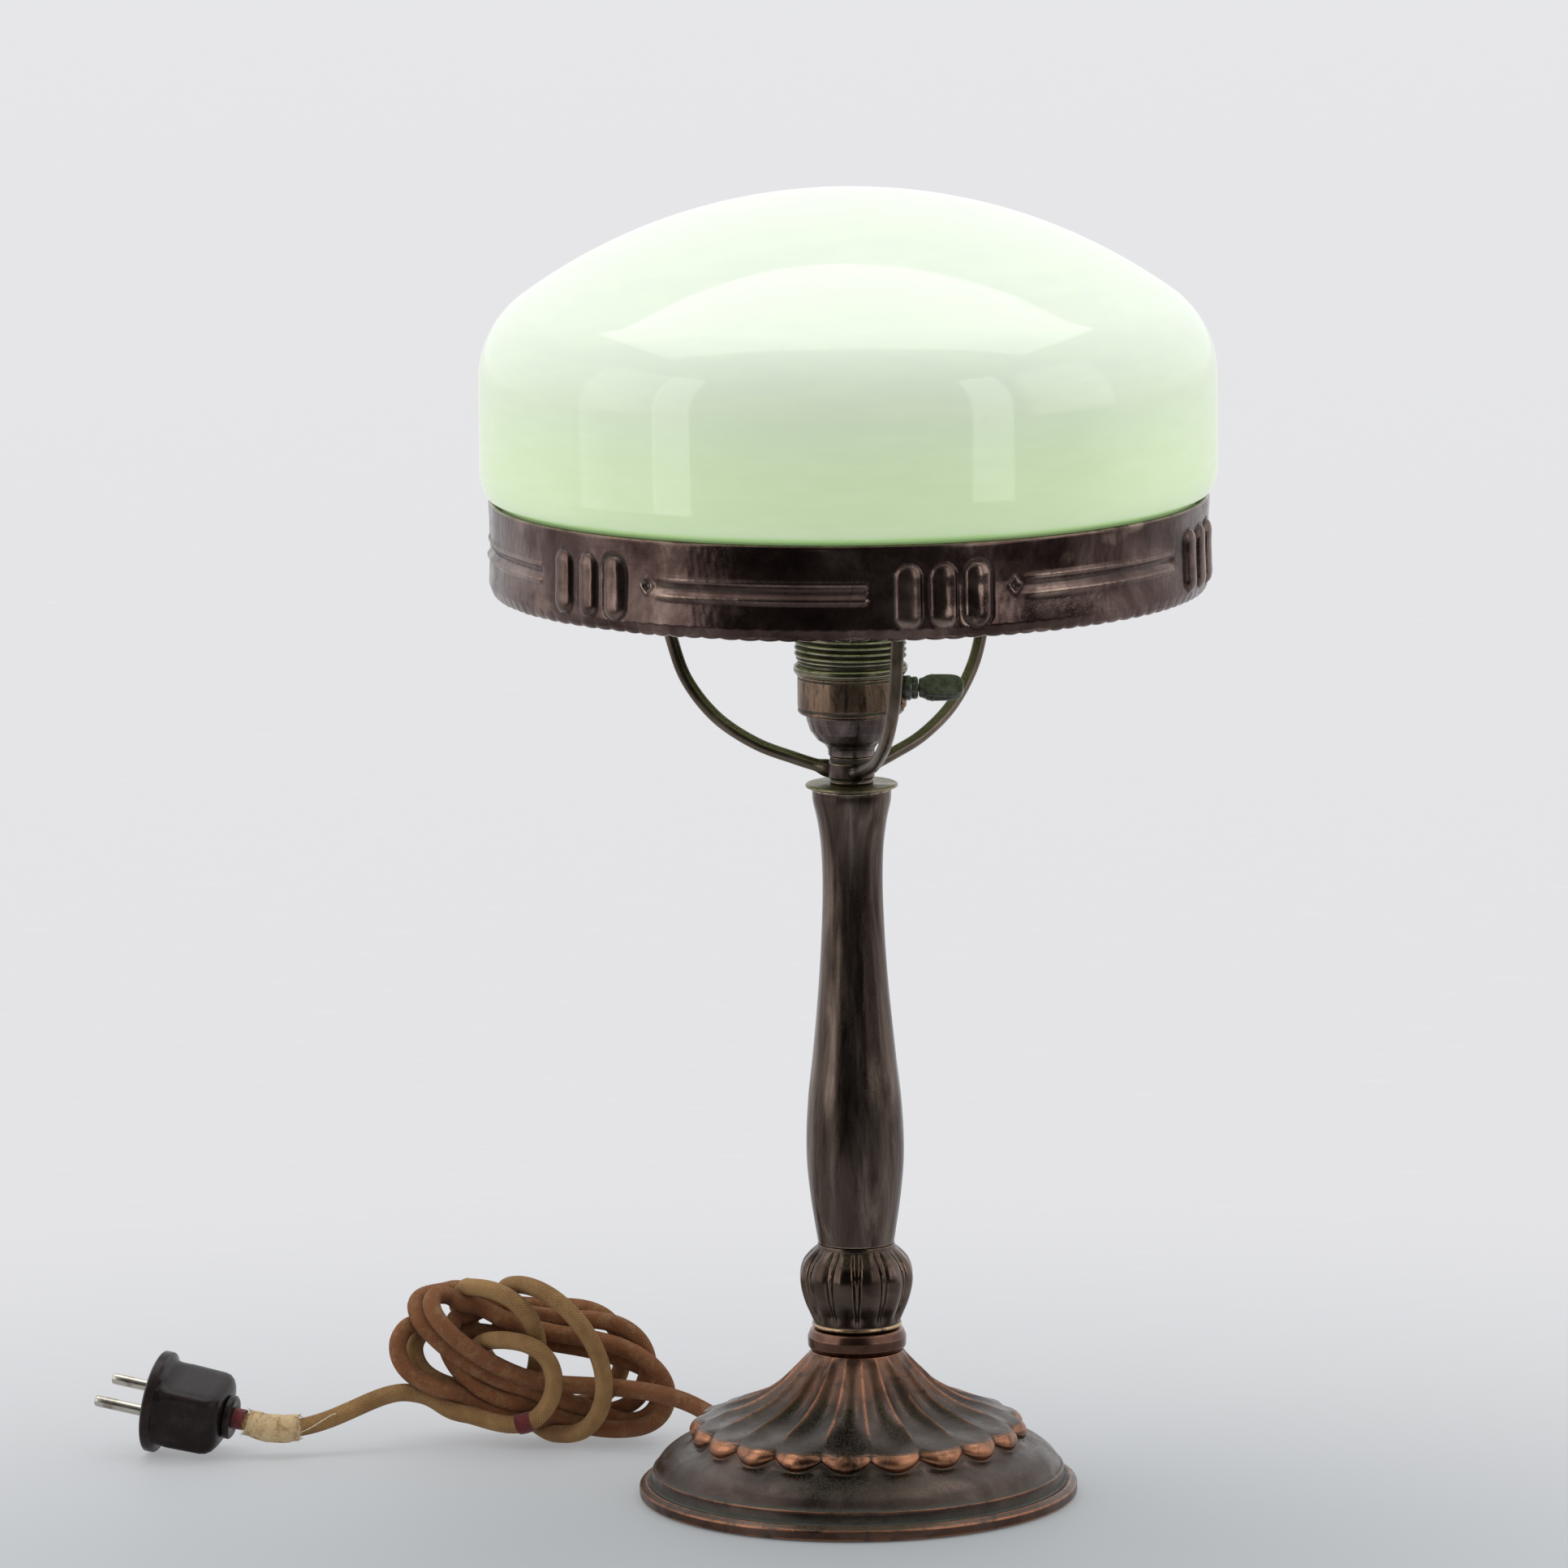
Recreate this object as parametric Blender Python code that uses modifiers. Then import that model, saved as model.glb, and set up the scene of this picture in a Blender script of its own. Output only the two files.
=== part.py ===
"""Table lamp with a turned metal column, a fluted foot and an opal glass shade.

The shade rests in a gallery ring on three bowed arms.  A lampholder with a turning key
stands between the arms and holds a screw-in bulb.  A textile cord runs from the foot to a
small hank on the table and ends in a round two-pin plug.

Frame: metres, +Z up, the lamp's axis on Z, the table at Z = 0.  The switch key points
along +X and the cord lies on the -X side.
"""
import math

import bmesh
import bpy
from mathutils import Vector

# Driving dimensions, in metres
PETALS = 20
PETAL_PHASE = math.radians(4.3)
PLATE_RADIUS = 0.0705
KNOP_LOBES = 12
TUBE_WALL = 0.0016

ROD_RADIUS = 0.0050
ROD_BORE = 0.0033
BORE = 0.0054
NUT_BORE = 0.0062
ROD_BOTTOM = 0.0095
ROD_TOP = 0.2620

ARM_AZIMUTHS = {"front": -76.4, "right": 43.6, "left": 163.6}
ARM_RADIUS = 0.0022
HUB_RADIUS = 0.0079

LEDGE_TOP = 0.3330
LEDGE_SHEET = 0.0012
SCREW_CIRCLE = 0.1110

SHADE_TOP = 0.4520
DOME_RADIUS = 0.1903
SHOULDER_RADIUS = 0.0339
SHOULDER_ANGLE = math.radians(35.84)
SHADE_WALL = 0.0030

BULB_RADIUS = 0.0300
BULB_CENTRE = 0.3680
BULB_WALL = 0.0010

KEY_HEIGHT = 0.2810
KEY_TURN = math.radians(45)

CORD_RADIUS = 0.00315
LEAD_RADIUS = 0.0020
TAPE_RADIUS = 0.0050
EXIT_AZIMUTH = math.radians(130)
EXIT_HEIGHT = 0.0135
HANK_CENTRE = (-0.1136, 0.0860, 0.0297)
HANK_HALF = (0.0500, 0.0280)
HANK_DEPTH = 0.0380
HANK_TILT = math.radians(10.4)

PLUG_PLACE = (-0.2465, 0.0735, 0.0185)
PLUG_TURN = (math.radians(-12), math.radians(-9.8), math.radians(165.9))
PIN_SPREAD = 0.0095


def mm(*pairs):
    """Outline points given in millimetres, as metres."""
    return [tuple(value * 0.001 for value in pair) for pair in pairs]


# Scene and materials

def clear_scene():
    for item in list(bpy.data.objects):
        bpy.data.objects.remove(item, do_unlink=True)


def collection(name):
    group = bpy.data.collections.get(name) or bpy.data.collections.new(name)
    if name not in bpy.context.scene.collection.children:
        bpy.context.scene.collection.children.link(group)
    return group


def finish(name, colour, roughness, metallic=0.0, transmission=0.0):
    material = bpy.data.materials.new(name)
    material.use_nodes = True
    shader = material.node_tree.nodes["Principled BSDF"]
    shader.inputs["Base Color"].default_value = (*colour, 1.0)
    shader.inputs["Roughness"].default_value = roughness
    shader.inputs["Metallic"].default_value = metallic
    shader.inputs["Transmission Weight"].default_value = transmission
    material.diffuse_color = (*colour, 1.0)
    return material


def add(name, data, material, group="table_lamp"):
    item = bpy.data.objects.new(name, data)
    collection(group).objects.link(item)
    if material is not None:
        data.materials.append(material)
    return item


def round_shading(item, angle=40):
    item.data.shade_smooth()
    item.data.set_sharp_from_angle(angle=math.radians(angle))


# Shapes

def turned(name, outline, material, steps=24, closed=True, group="table_lamp"):
    """An outline of (radius, height) turned about the object's own Z axis."""
    mesh = bpy.data.meshes.new(name)
    count = len(outline)
    points = [(radius, 0.0, height) for radius, height in outline]
    edges = [(i, (i + 1) % count) for i in range(count if closed else count - 1)]
    mesh.from_pydata(points, edges, [])
    item = add(name, mesh, material, group)
    screw = item.modifiers.new("Turn", "SCREW")
    screw.axis = "Z"
    screw.steps = steps
    screw.render_steps = steps
    screw.use_merge_vertices = True
    screw.merge_threshold = 0.00001
    screw.use_smooth_shade = True
    return item


def ring(name, inner, outer, bottom, top, material, steps=24):
    outline = [(outer, top), (outer, bottom), (inner, bottom), (inner, top)]
    return turned(name, outline, material, steps)


def solid(name, outline, material, steps=16):
    """A turned piece that is solid at its axis."""
    full = [(0.0, outline[0][1])] + outline + [(0.0, outline[-1][1])]
    return turned(name, full, material, steps, closed=False)


def along_x(item, x=0.0, z=0.0):
    """Turn a piece's own Z axis onto +X."""
    item.rotation_euler = (0.0, math.radians(90), 0.0)
    item.location = (x, 0.0, z)
    return item


def loft(name, sections, material, cyclic):
    """Join equal closed sections; cyclic joins the last to the first, else ends are capped."""
    shape = bmesh.new()
    rows = [[shape.verts.new(point) for point in section] for section in sections]
    size = len(rows[0])
    for i in range(len(rows) if cyclic else len(rows) - 1):
        here, there = rows[i], rows[(i + 1) % len(rows)]
        for j in range(size):
            k = (j + 1) % size
            shape.faces.new((here[j], here[k], there[k], there[j]))
    if not cyclic:
        shape.faces.new(rows[0])
        shape.faces.new(rows[-1])
    bmesh.ops.recalc_face_normals(shape, faces=shape.faces)
    mesh = bpy.data.meshes.new(name)
    shape.to_mesh(mesh)
    shape.free()
    item = add(name, mesh, material)
    round_shading(item)
    return item


def smooth_route(points, pieces):
    """Points on one smooth curve that passes through every given point."""
    knots = [Vector(point) for point in points]
    knots = [2 * knots[0] - knots[1]] + knots + [2 * knots[-1] - knots[-2]]
    route = []
    for a, b, c, d in zip(knots, knots[1:], knots[2:], knots[3:]):
        for step in range(pieces):
            t = step / pieces
            route.append(0.5 * (2 * b + (c - a) * t + (2 * a - 5 * b + 4 * c - d) * t * t
                                + (3 * b - a - 3 * c + d) * t ** 3))
    return route + [knots[-2]]


def rod(name, route, radius, material, level=2):
    curve = bpy.data.curves.new(name, "CURVE")
    curve.dimensions = "3D"
    curve.bevel_depth = radius
    curve.bevel_resolution = level
    curve.use_fill_caps = True
    spline = curve.splines.new("POLY")
    spline.points.add(len(route) - 1)
    for point, place in zip(spline.points, route):
        point.co = (*place, 1.0)
    return add(name, curve, material)


def plate(name, outline, thickness, material):
    """A flat outline in the object's XY plane, thickened evenly to both sides."""
    curve = bpy.data.curves.new(name, "CURVE")
    curve.dimensions = "2D"
    curve.fill_mode = "BOTH"
    curve.extrude = thickness / 2
    spline = curve.splines.new("POLY")
    spline.points.add(len(outline) - 1)
    for point, (x, y) in zip(spline.points, outline):
        point.co = (x, y, 0.0, 1.0)
    spline.use_cyclic_u = True
    return solid_mesh(add(name, curve, material))


def solid_mesh(item):
    """Swap a curve object for a welded mesh object of the same shape and place."""
    name = item.name
    evaluated = item.evaluated_get(bpy.context.evaluated_depsgraph_get())
    mesh = bpy.data.meshes.new_from_object(evaluated)
    shape = bmesh.new()
    shape.from_mesh(mesh)
    bmesh.ops.remove_doubles(shape, verts=shape.verts, dist=0.00001)
    bmesh.ops.recalc_face_normals(shape, faces=shape.faces)
    shape.to_mesh(mesh)
    shape.free()
    place = item.matrix_world.copy()
    bpy.data.objects.remove(item, do_unlink=True)
    swapped = add(name, mesh, None)
    swapped.name = name
    swapped.matrix_world = place
    return swapped


def bar_cutter(name, radius, start, end):
    """A round cutter between two points."""
    start, end = Vector(start), Vector(end)
    mesh = bpy.data.meshes.new(name)
    shape = bmesh.new()
    bmesh.ops.create_cone(shape, cap_ends=True, segments=12, radius1=radius, radius2=radius,
                          depth=(end - start).length)
    shape.to_mesh(mesh)
    shape.free()
    return place_cutter(name, mesh, (start + end) / 2,
                        (end - start).to_track_quat("Z", "Y").to_euler())


def box_cutter(name, low, high):
    low, high = Vector(low), Vector(high)
    mesh = bpy.data.meshes.new(name)
    shape = bmesh.new()
    bmesh.ops.create_cube(shape, size=1.0)
    bmesh.ops.scale(shape, vec=high - low, verts=shape.verts)
    shape.to_mesh(mesh)
    shape.free()
    return place_cutter(name, mesh, (low + high) / 2, (0.0, 0.0, 0.0))


def place_cutter(name, mesh, location, rotation):
    cutter = add(name, mesh, None, "cutters")
    cutter.location = location
    cutter.rotation_euler = rotation
    cutter.hide_render = True
    cutter.display_type = "WIRE"
    return cutter


def cut(item, cutter):
    boolean = item.modifiers.new(cutter.name, "BOOLEAN")
    boolean.operation = "DIFFERENCE"
    boolean.solver = "EXACT"
    boolean.object = cutter


def soften(item, width, segments=1):
    bevel = item.modifiers.new("Soft edges", "BEVEL")
    bevel.width = width
    bevel.segments = segments
    bevel.limit_method = "ANGLE"
    bevel.angle_limit = math.radians(50)


# Foot

def foot_column(angle):
    """The foot's wall at one angle: down the outside, then up the inside.

    Sharp ridges run down to the notches between the petals, and the flute between two
    ridges is hollow near the column and swells a little at the petal's rim.
    """
    phase = (angle - PETAL_PHASE) * PETALS / (2 * math.pi)
    hollow = 0.5 - 0.5 * math.cos(2 * math.pi * phase)
    outline = mm(
        (16.2, 50.4),
        (18.3 - 0.5 * hollow, 47.6 - 0.4 * hollow),
        (22.5 - 0.8 * hollow, 43.2 - 0.8 * hollow),
        (28.0 - 0.7 * hollow, 37.8 - 1.1 * hollow),
        (36.0 - 0.4 * hollow, 33.0 - 1.3 * hollow),
        (46.0, 29.0 - 0.9 * hollow),
        (52.6 + 1.4 * hollow, 26.0 - 0.1 * hollow),
        (54.3 + 2.2 * hollow, 24.1 + 0.1 * hollow),
        (54.9 + 2.6 * hollow, 20.6 - 0.6 * hollow),
        (60.0, 18.1), (64.3, 16.0), (67.4, 13.6), (69.4, 11.2), (70.8, 8.4), (71.4, 5.0),
        (74.6, 4.4), (75.5, 2.6), (75.0, 0.3),
        (71.0, 0.3), (71.0, 3.6), (69.0, 5.4), (67.2, 9.6), (62.2, 14.2), (53.6, 17.6),
        (51.6, 22.8), (36.0, 28.6), (25.6, 37.2), (15.6, 48.0), (5.4, 48.2), (5.4, 50.4),
    )
    return [(r * math.sin(angle), -r * math.cos(angle), z) for r, z in outline]


def make_foot(metal, iron, brass, felt, rubber):
    count = 2 * PETALS
    columns = [foot_column(PETAL_PHASE + 2 * math.pi * i / count) for i in range(count)]
    shell = loft("base_shell", columns, metal, cyclic=True)
    out = Vector((math.cos(EXIT_AZIMUTH), math.sin(EXIT_AZIMUTH), 0.0))
    level = Vector((0.0, 0.0, EXIT_HEIGHT))
    cut(shell, bar_cutter("cord_hole", 0.0047, out * 0.053 + level, out * 0.080 + level))

    bushing = ring("cord_bushing", 0.0025, 0.0043, 0.0595, 0.0710, rubber, 12)
    bushing.rotation_euler = out.to_track_quat("Z", "Y").to_euler()
    bushing.location = level

    solid("base_felt", [(PLATE_RADIUS, 0.0017), (PLATE_RADIUS, 0.0)], felt, 32)
    solid("base_plate", [(PLATE_RADIUS, 0.0032), (PLATE_RADIUS, 0.0020)], brass, 32)
    turned("base_weight", mm((46.0, 22.6), (50.0, 20.5), (50.0, 15.6), (5.4, 15.6),
                             (5.4, 22.6)), iron, 24)
    ring("bottom_washer", BORE, 0.0100, 0.0143, 0.0153, brass, 16)
    ring("bottom_nut", NUT_BORE, 0.0085, 0.0100, 0.0140, brass, 6)


# Column

def knop_column(angle):
    """The knop's wall at one angle: lobes outside, an even hollow inside."""
    lobe = 0.5 - 0.5 * math.cos(KNOP_LOBES * angle)
    dip = 1.1 * (1.0 - lobe)
    outline = mm(
        (13.2, 88.1), (16.2 - 0.4 * dip, 85.0), (18.5 - 0.8 * dip, 82.2), (19.6 - dip, 79.4),
        (19.9 - dip, 76.6), (19.6 - dip, 73.4), (18.3 - dip, 69.6), (16.2 - 0.8 * dip, 64.2),
        (14.2, 59.2), (5.4, 59.2), (5.4, 60.9), (12.6, 60.9), (16.6, 70.2), (17.4, 76.6),
        (15.6, 83.0), (12.2, 86.4), (5.4, 86.4), (5.4, 88.1),
    )
    return [(r * math.sin(angle), -r * math.cos(angle), z) for r, z in outline]


def make_column(metal, brass):
    ring("central_rod", ROD_BORE, ROD_RADIUS, ROD_BOTTOM, ROD_TOP, brass, 12)
    turned("bead_ring", mm((14.6, 58.9), (16.4, 57.4), (16.9, 55.0), (16.7, 52.2), (15.6, 50.8),
                           (5.4, 50.8), (5.4, 58.9)), metal, 24)
    count = 2 * KNOP_LOBES
    loft("knop", [knop_column(2 * math.pi * i / count) for i in range(count)], metal, cyclic=True)
    outside = mm((13.7, 246.9), (13.3, 242.0), (11.8, 235.0), (10.7, 226.0), (10.4, 213.0),
                 (10.9, 195.0), (12.1, 177.0), (14.3, 154.0), (15.9, 140.0), (16.7, 127.0),
                 (16.6, 116.0), (15.4, 104.0), (13.1, 88.4))
    inside = [(radius - TUBE_WALL, height) for radius, height in outside[::-3]]
    turned("stem_tube", outside + inside, metal, 18)
    ring("stem_disc", BORE, 0.0158, 0.2472, 0.2482, brass, 24)


# Arms and gallery

def make_arms(metal):
    """Three bowed arms that rise from the hub, then flare out under the ledge."""
    ring("arm_hub", BORE, HUB_RADIUS, 0.2485, 0.2580, metal, 16)
    bow = mm((9.0, 252.9), (20.0, 256.2), (34.0, 260.6), (48.0, 269.4), (58.6, 282.0),
             (63.6, 296.0), (66.8, 309.0), (73.0, 321.0), (88.0, 328.0), (113.2, 329.0))
    route = smooth_route([(radius, 0.0, height) for radius, height in bow], 2)
    for side, azimuth in ARM_AZIMUTHS.items():
        arm = rod("arm_" + side, route, ARM_RADIUS, metal)
        arm.rotation_euler = (0.0, 0.0, math.radians(azimuth))


def make_gallery(metal, brass):
    turned("gallery_band", mm((122.5, 347.8), (122.5, 339.5), (121.9, 333.5), (122.5, 327.5),
                              (122.5, 319.5), (120.6, 315.5), (119.4, 315.9), (121.0, 320.0),
                              (120.9, 333.5), (121.2, 347.8)), metal, 40)
    ledge = ring("gallery_ledge", 0.1075, 0.1206, LEDGE_TOP - LEDGE_SHEET, LEDGE_TOP, metal, 40)
    for side, azimuth in ARM_AZIMUTHS.items():
        angle = math.radians(azimuth)
        x, y = SCREW_CIRCLE * math.cos(angle), SCREW_CIRCLE * math.sin(angle)
        cut(ledge, bar_cutter("ledge_hole_" + side, 0.0018, (x, y, 0.330), (x, y, 0.336)))
        screw = solid("ledge_screw_" + side, mm((2.0, 334.9), (2.6, 334.3), (2.6, 333.3),
                                                (1.4, 333.3), (1.4, 331.6)), brass, 10)
        screw.location = (x, y, 0.0)


# Shade

def shade_arc(shrink):
    """Dome and shoulder from the top down to the straight side."""
    dome_centre = SHADE_TOP - DOME_RADIUS
    reach = DOME_RADIUS - SHOULDER_RADIUS
    centre = (reach * math.sin(SHOULDER_ANGLE), dome_centre + reach * math.cos(SHOULDER_ANGLE))
    points = []
    for step in range(1, 5):
        angle = SHOULDER_ANGLE * step / 5
        radius = DOME_RADIUS - shrink
        points.append((radius * math.sin(angle), dome_centre + radius * math.cos(angle)))
    for step in range(5):
        angle = SHOULDER_ANGLE + (math.pi / 2 - SHOULDER_ANGLE) * step / 4
        radius = SHOULDER_RADIUS - shrink
        points.append((centre[0] + radius * math.sin(angle), centre[1] + radius * math.cos(angle)))
    return points


def make_shade(opal):
    """The lip sits inside the band; its outside stands over the band's edge."""
    outside = shade_arc(0.0) + mm((125.5, 357.5), (124.9, 353.2), (123.6, 350.3), (122.2, 348.9),
                                  (119.5, 347.3), (117.7, 344.5), (117.5, 333.4))
    inside = mm((114.5, 333.4), (114.7, 345.4), (117.6, 349.6), (121.0, 352.6), (122.5, 358.5))
    inside += list(reversed(shade_arc(SHADE_WALL)))
    full = [(0.0, SHADE_TOP)] + outside + inside + [(0.0, SHADE_TOP - SHADE_WALL)]
    turned("shade_glass", full, opal, 32, closed=False)


# Lampholder

def make_holder(bronze, brass, porcelain):
    turned("holder_cap", mm((15.3, 272.6), (14.9, 270.2), (13.6, 267.0), (11.2, 263.8),
                            (8.6, 261.8), (7.9, 260.6), (7.9, 258.3), (5.5, 258.3), (5.5, 261.6),
                            (10.4, 264.9), (12.7, 267.8), (14.0, 270.5), (14.4, 272.6)), bronze, 20)
    body = turned("holder_body", mm((18.1, 286.3), (18.1, 275.2), (17.2, 273.5), (15.6, 272.9),
                                    (15.6, 273.6), (16.7, 274.2), (17.3, 275.6), (17.3, 286.3)),
                  bronze, 24)
    cut(body, bar_cutter("spindle_hole", 0.0020, (0.012, 0, KEY_HEIGHT), (0.022, 0, KEY_HEIGHT)))
    turned("holder_ring", mm((18.8, 289.7), (19.4, 288.9), (19.4, 287.5), (18.8, 286.6),
                             (17.3, 286.6), (17.3, 289.7)), bronze, 24)
    turned("holder_skirt", mm((18.4, 307.0), (19.1, 306.3), (19.1, 290.0), (17.5, 290.0),
                              (17.5, 307.0)), bronze, 24)
    block = turned("porcelain_block", mm((16.5, 288.2), (16.5, 274.6), (3.2, 274.6), (3.2, 288.2)),
                   porcelain, 20)
    cut(block, box_cutter("cam_pocket", (-0.007, -0.0055, 0.2765), (0.020, 0.0055, 0.2858)))
    ring("screw_shell", 0.0137, 0.0144, 0.2885, 0.3040, brass, 24)
    solid("centre_contact", mm((3.2, 289.7), (4.6, 288.9), (4.6, 288.5), (2.6, 288.5),
                               (2.6, 287.0)), brass, 12)
    for number, y in (("1", -0.0085), ("2", 0.0085)):
        screw = solid("terminal_screw_" + number, mm((2.2, 274.3), (2.2, 272.2), (1.6, 271.6)),
                      brass, 10)
        screw.location = (0.0, y, 0.0)


def make_key(bronze, brass):
    """Everything here but the bushing turns about the key's axis."""
    bushing = turned("key_bushing", mm((4.1, 23.0), (4.1, 19.6), (5.0, 19.6), (5.0, 18.4),
                                       (1.8, 18.4), (1.8, 23.0)), bronze, 14)
    along_x(bushing, z=KEY_HEIGHT)
    along_x(solid("switch_cam", mm((3.2, 4.7), (4.2, 3.2), (4.2, -2.2), (3.2, -3.6)), brass, 8),
            z=KEY_HEIGHT)
    along_x(solid("switch_spindle", mm((1.4, 25.6), (1.4, 5.0)), brass, 10), z=KEY_HEIGHT)

    outline = mm((23.3, -4.4), (24.6, -4.7), (30.0, -4.5), (35.0, -3.9), (37.4, -2.8),
                 (38.5, -0.8), (38.5, 0.8), (37.4, 2.8), (35.0, 3.9), (30.0, 4.5),
                 (24.6, 4.7), (23.3, 4.4))
    key = plate("switch_key", outline, 0.0038, bronze)
    key.location = (0.0, 0.0, KEY_HEIGHT)
    key.rotation_euler = (KEY_TURN, 0.0, 0.0)
    soften(key, 0.0006)
    cut(key, bar_cutter("key_socket", 0.0017, (0.0225, 0, KEY_HEIGHT), (0.0260, 0, KEY_HEIGHT)))
    across = Vector((0.0, math.cos(KEY_TURN), math.sin(KEY_TURN)))
    root = Vector((0.0278, 0.0, KEY_HEIGHT))
    cut(key, bar_cutter("pin_hole", 0.0011, root - across * 0.008, root + across * 0.008))
    pin = solid("key_pin", mm((0.8, 5.2), (0.8, -5.2)), brass, 8)
    pin.rotation_euler = across.to_track_quat("Z", "Y").to_euler()
    pin.location = root


# Bulb

def make_bulb(glass, brass, black, steel):
    turned("bulb_cap", mm((13.2, 318.0), (13.1, 297.0), (9.5, 293.4), (8.4, 294.2), (12.2, 298.2),
                          (12.3, 318.0)), brass, 24)
    solid("bulb_insulator", mm((8.0, 293.1), (8.8, 292.9), (4.8, 291.2)), black, 16)
    solid("bulb_contact", mm((4.4, 290.9), (4.4, 290.4), (3.4, 290.0)), steel, 12)

    outside = []
    for step in range(1, 7):
        angle = math.radians(20 * step)
        outside.append((BULB_RADIUS * math.sin(angle), BULB_CENTRE + BULB_RADIUS * math.cos(angle)))
    outside += mm((20.2, 341.0), (15.2, 330.0), (11.8, 318.0), (11.6, 306.0))
    inside = [(radius - BULB_WALL, height) for radius, height in reversed(outside)]
    top = BULB_CENTRE + BULB_RADIUS
    full = [(0.0, top)] + outside + inside + [(0.0, top - BULB_WALL)]
    turned("bulb_glass", full, glass, 16, closed=False)

    solid("bulb_mount", mm((2.4, 338.0), (2.8, 330.0), (3.6, 318.0), (7.6, 308.0), (9.4, 304.0)),
          glass, 12)
    reach = [(-0.0150, 0.0, 0.3660), (-0.0120, 0.004, 0.3630), (-0.0060, -0.004, 0.3660),
             (0.0, 0.003, 0.3632), (0.0060, -0.004, 0.3660), (0.0120, 0.004, 0.3630),
             (0.0150, 0.0, 0.3660)]
    legs = [(-0.0030, 0.0, 0.3384)] + reach + [(0.0030, 0.0, 0.3384)]
    rod("filament", smooth_route(legs, 2), 0.00045, steel)


# Cord

def make_cord(textile, cloth):
    out = Vector((math.cos(EXIT_AZIMUTH), math.sin(EXIT_AZIMUTH), 0.0))

    def inner(radius, height):
        return out * radius * 0.001 + Vector((0.0, 0.0, height * 0.001))

    turn = [inner(69.5, 13.5), inner(58.5, 13.4), inner(50.0, 10.0), inner(40.0, 6.8),
            inner(26.0, 5.9), inner(12.0, 5.8), inner(6.0, 5.9), inner(2.9, 6.8),
            inner(0.9, 8.6), inner(0.1, 10.6), inner(0.0, 14.0)]
    rod("inner_lead", turn + [inner(0.0, 140.0), inner(0.0, 271.2)], LEAD_RADIUS, textile)

    start = out * 0.0713 + Vector((0.0, 0.0, EXIT_HEIGHT))
    lead = [start, (-0.0510, 0.0602, 0.0139), (-0.0560, 0.0647, 0.0152), (-0.0621, 0.0684, 0.0172)]
    rod("cord_lead", smooth_route(lead, 2), CORD_RADIUS, textile)

    outline = [(HANK_HALF[0] * math.cos(angle), HANK_HALF[1] * math.sin(angle))
               for angle in (2 * math.pi * i / 24 for i in range(24))]
    hank = plate("cord_hank", outline, HANK_DEPTH, textile)
    hank.rotation_euler = (math.radians(90), HANK_TILT, 0.0)
    hank.location = HANK_CENTRE

    tail = [(-0.1962, 0.0660, 0.0097), (-0.1870, 0.0680, 0.0116), (-0.1784, 0.0705, 0.0146),
            (-0.1680, 0.0732, 0.0186), (-0.1596, 0.0755, 0.0219)]
    rod("cord_tail", smooth_route(tail, 2), CORD_RADIUS, textile)
    tape = [(-0.2132, 0.0654, 0.0120), (-0.2085, 0.0647, 0.0106), (-0.2030, 0.0648, 0.0098),
            (-0.1974, 0.0657, 0.0097)]
    rod("cord_tape", smooth_route(tape, 2), TAPE_RADIUS, cloth)


# Plug

def plug_section(x, half_width, half_height, power):
    points = []
    for i in range(20):
        angle = 2 * math.pi * i / 20
        c, s = math.cos(angle), math.sin(angle)
        y = half_width * math.copysign(abs(c) ** (2 / power), c)
        z = half_height * math.copysign(abs(s) ** (2 / power), s)
        points.append((x * 0.001, y * 0.001, z * 0.001))
    return points


def make_plug(bakelite, steel, brass, thread):
    """Built about its own frame: the pins point along +X from the round face at X = 0."""
    stand = bpy.data.objects.new("plug_stand", None)
    collection("table_lamp").objects.link(stand)
    stand.location = PLUG_PLACE
    stand.rotation_euler = PLUG_TURN

    sizes = ((0.0, 18.0, 18.0, 2.0), (-3.3, 18.0, 18.0, 2.0), (-7.6, 14.4, 11.4, 4.5),
             (-20.5, 14.1, 11.1, 5.0), (-24.6, 12.6, 10.0, 4.0), (-26.3, 9.6, 8.4, 3.0))
    body = loft("plug_body", [plug_section(*size) for size in sizes], bakelite, cyclic=False)
    pocket = box_cutter("plug_pocket", (-0.020, -0.0129, -0.0062), (0.002, 0.0129, 0.0062))
    cut(body, pocket)

    insert = plate("plug_insert", mm((-12.6, -5.9), (12.6, -5.9), (12.6, 5.9), (-12.6, 5.9)),
                   0.0050, bakelite)
    insert.rotation_euler = (math.radians(90), 0.0, math.radians(90))
    insert.location = (-0.0025, 0.0, 0.0)
    pieces = [body, insert]
    tools = [pocket]
    for side, y in (("near", PIN_SPREAD), ("far", -PIN_SPREAD)):
        hole = bar_cutter("pin_hole_" + side, 0.0023, (-0.008, y, 0.0), (0.004, y, 0.0))
        cut(insert, hole)
        tools.append(hole)
        pin = solid("plug_pin_" + side, mm((1.2, 19.0), (2.0, 17.8), (2.0, -9.0)), steel, 12)
        along_x(pin)
        pin.location = (0.0, y, 0.0)
        pieces.append(pin)
    pieces.append(along_x(solid("plug_screw", mm((2.6, 1.5), (2.6, 0.3)), brass, 10)))
    pieces.append(along_x(solid("plug_collar", mm((6.8, -26.6), (7.8, -27.2), (7.8, -28.8),
                                                  (6.8, -29.4)), bakelite, 20)))
    pieces.append(along_x(solid("cord_whipping", mm((4.1, -29.7), (4.1, -33.2)), thread, 12)))
    for piece in pieces + tools:
        piece.parent = stand


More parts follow.
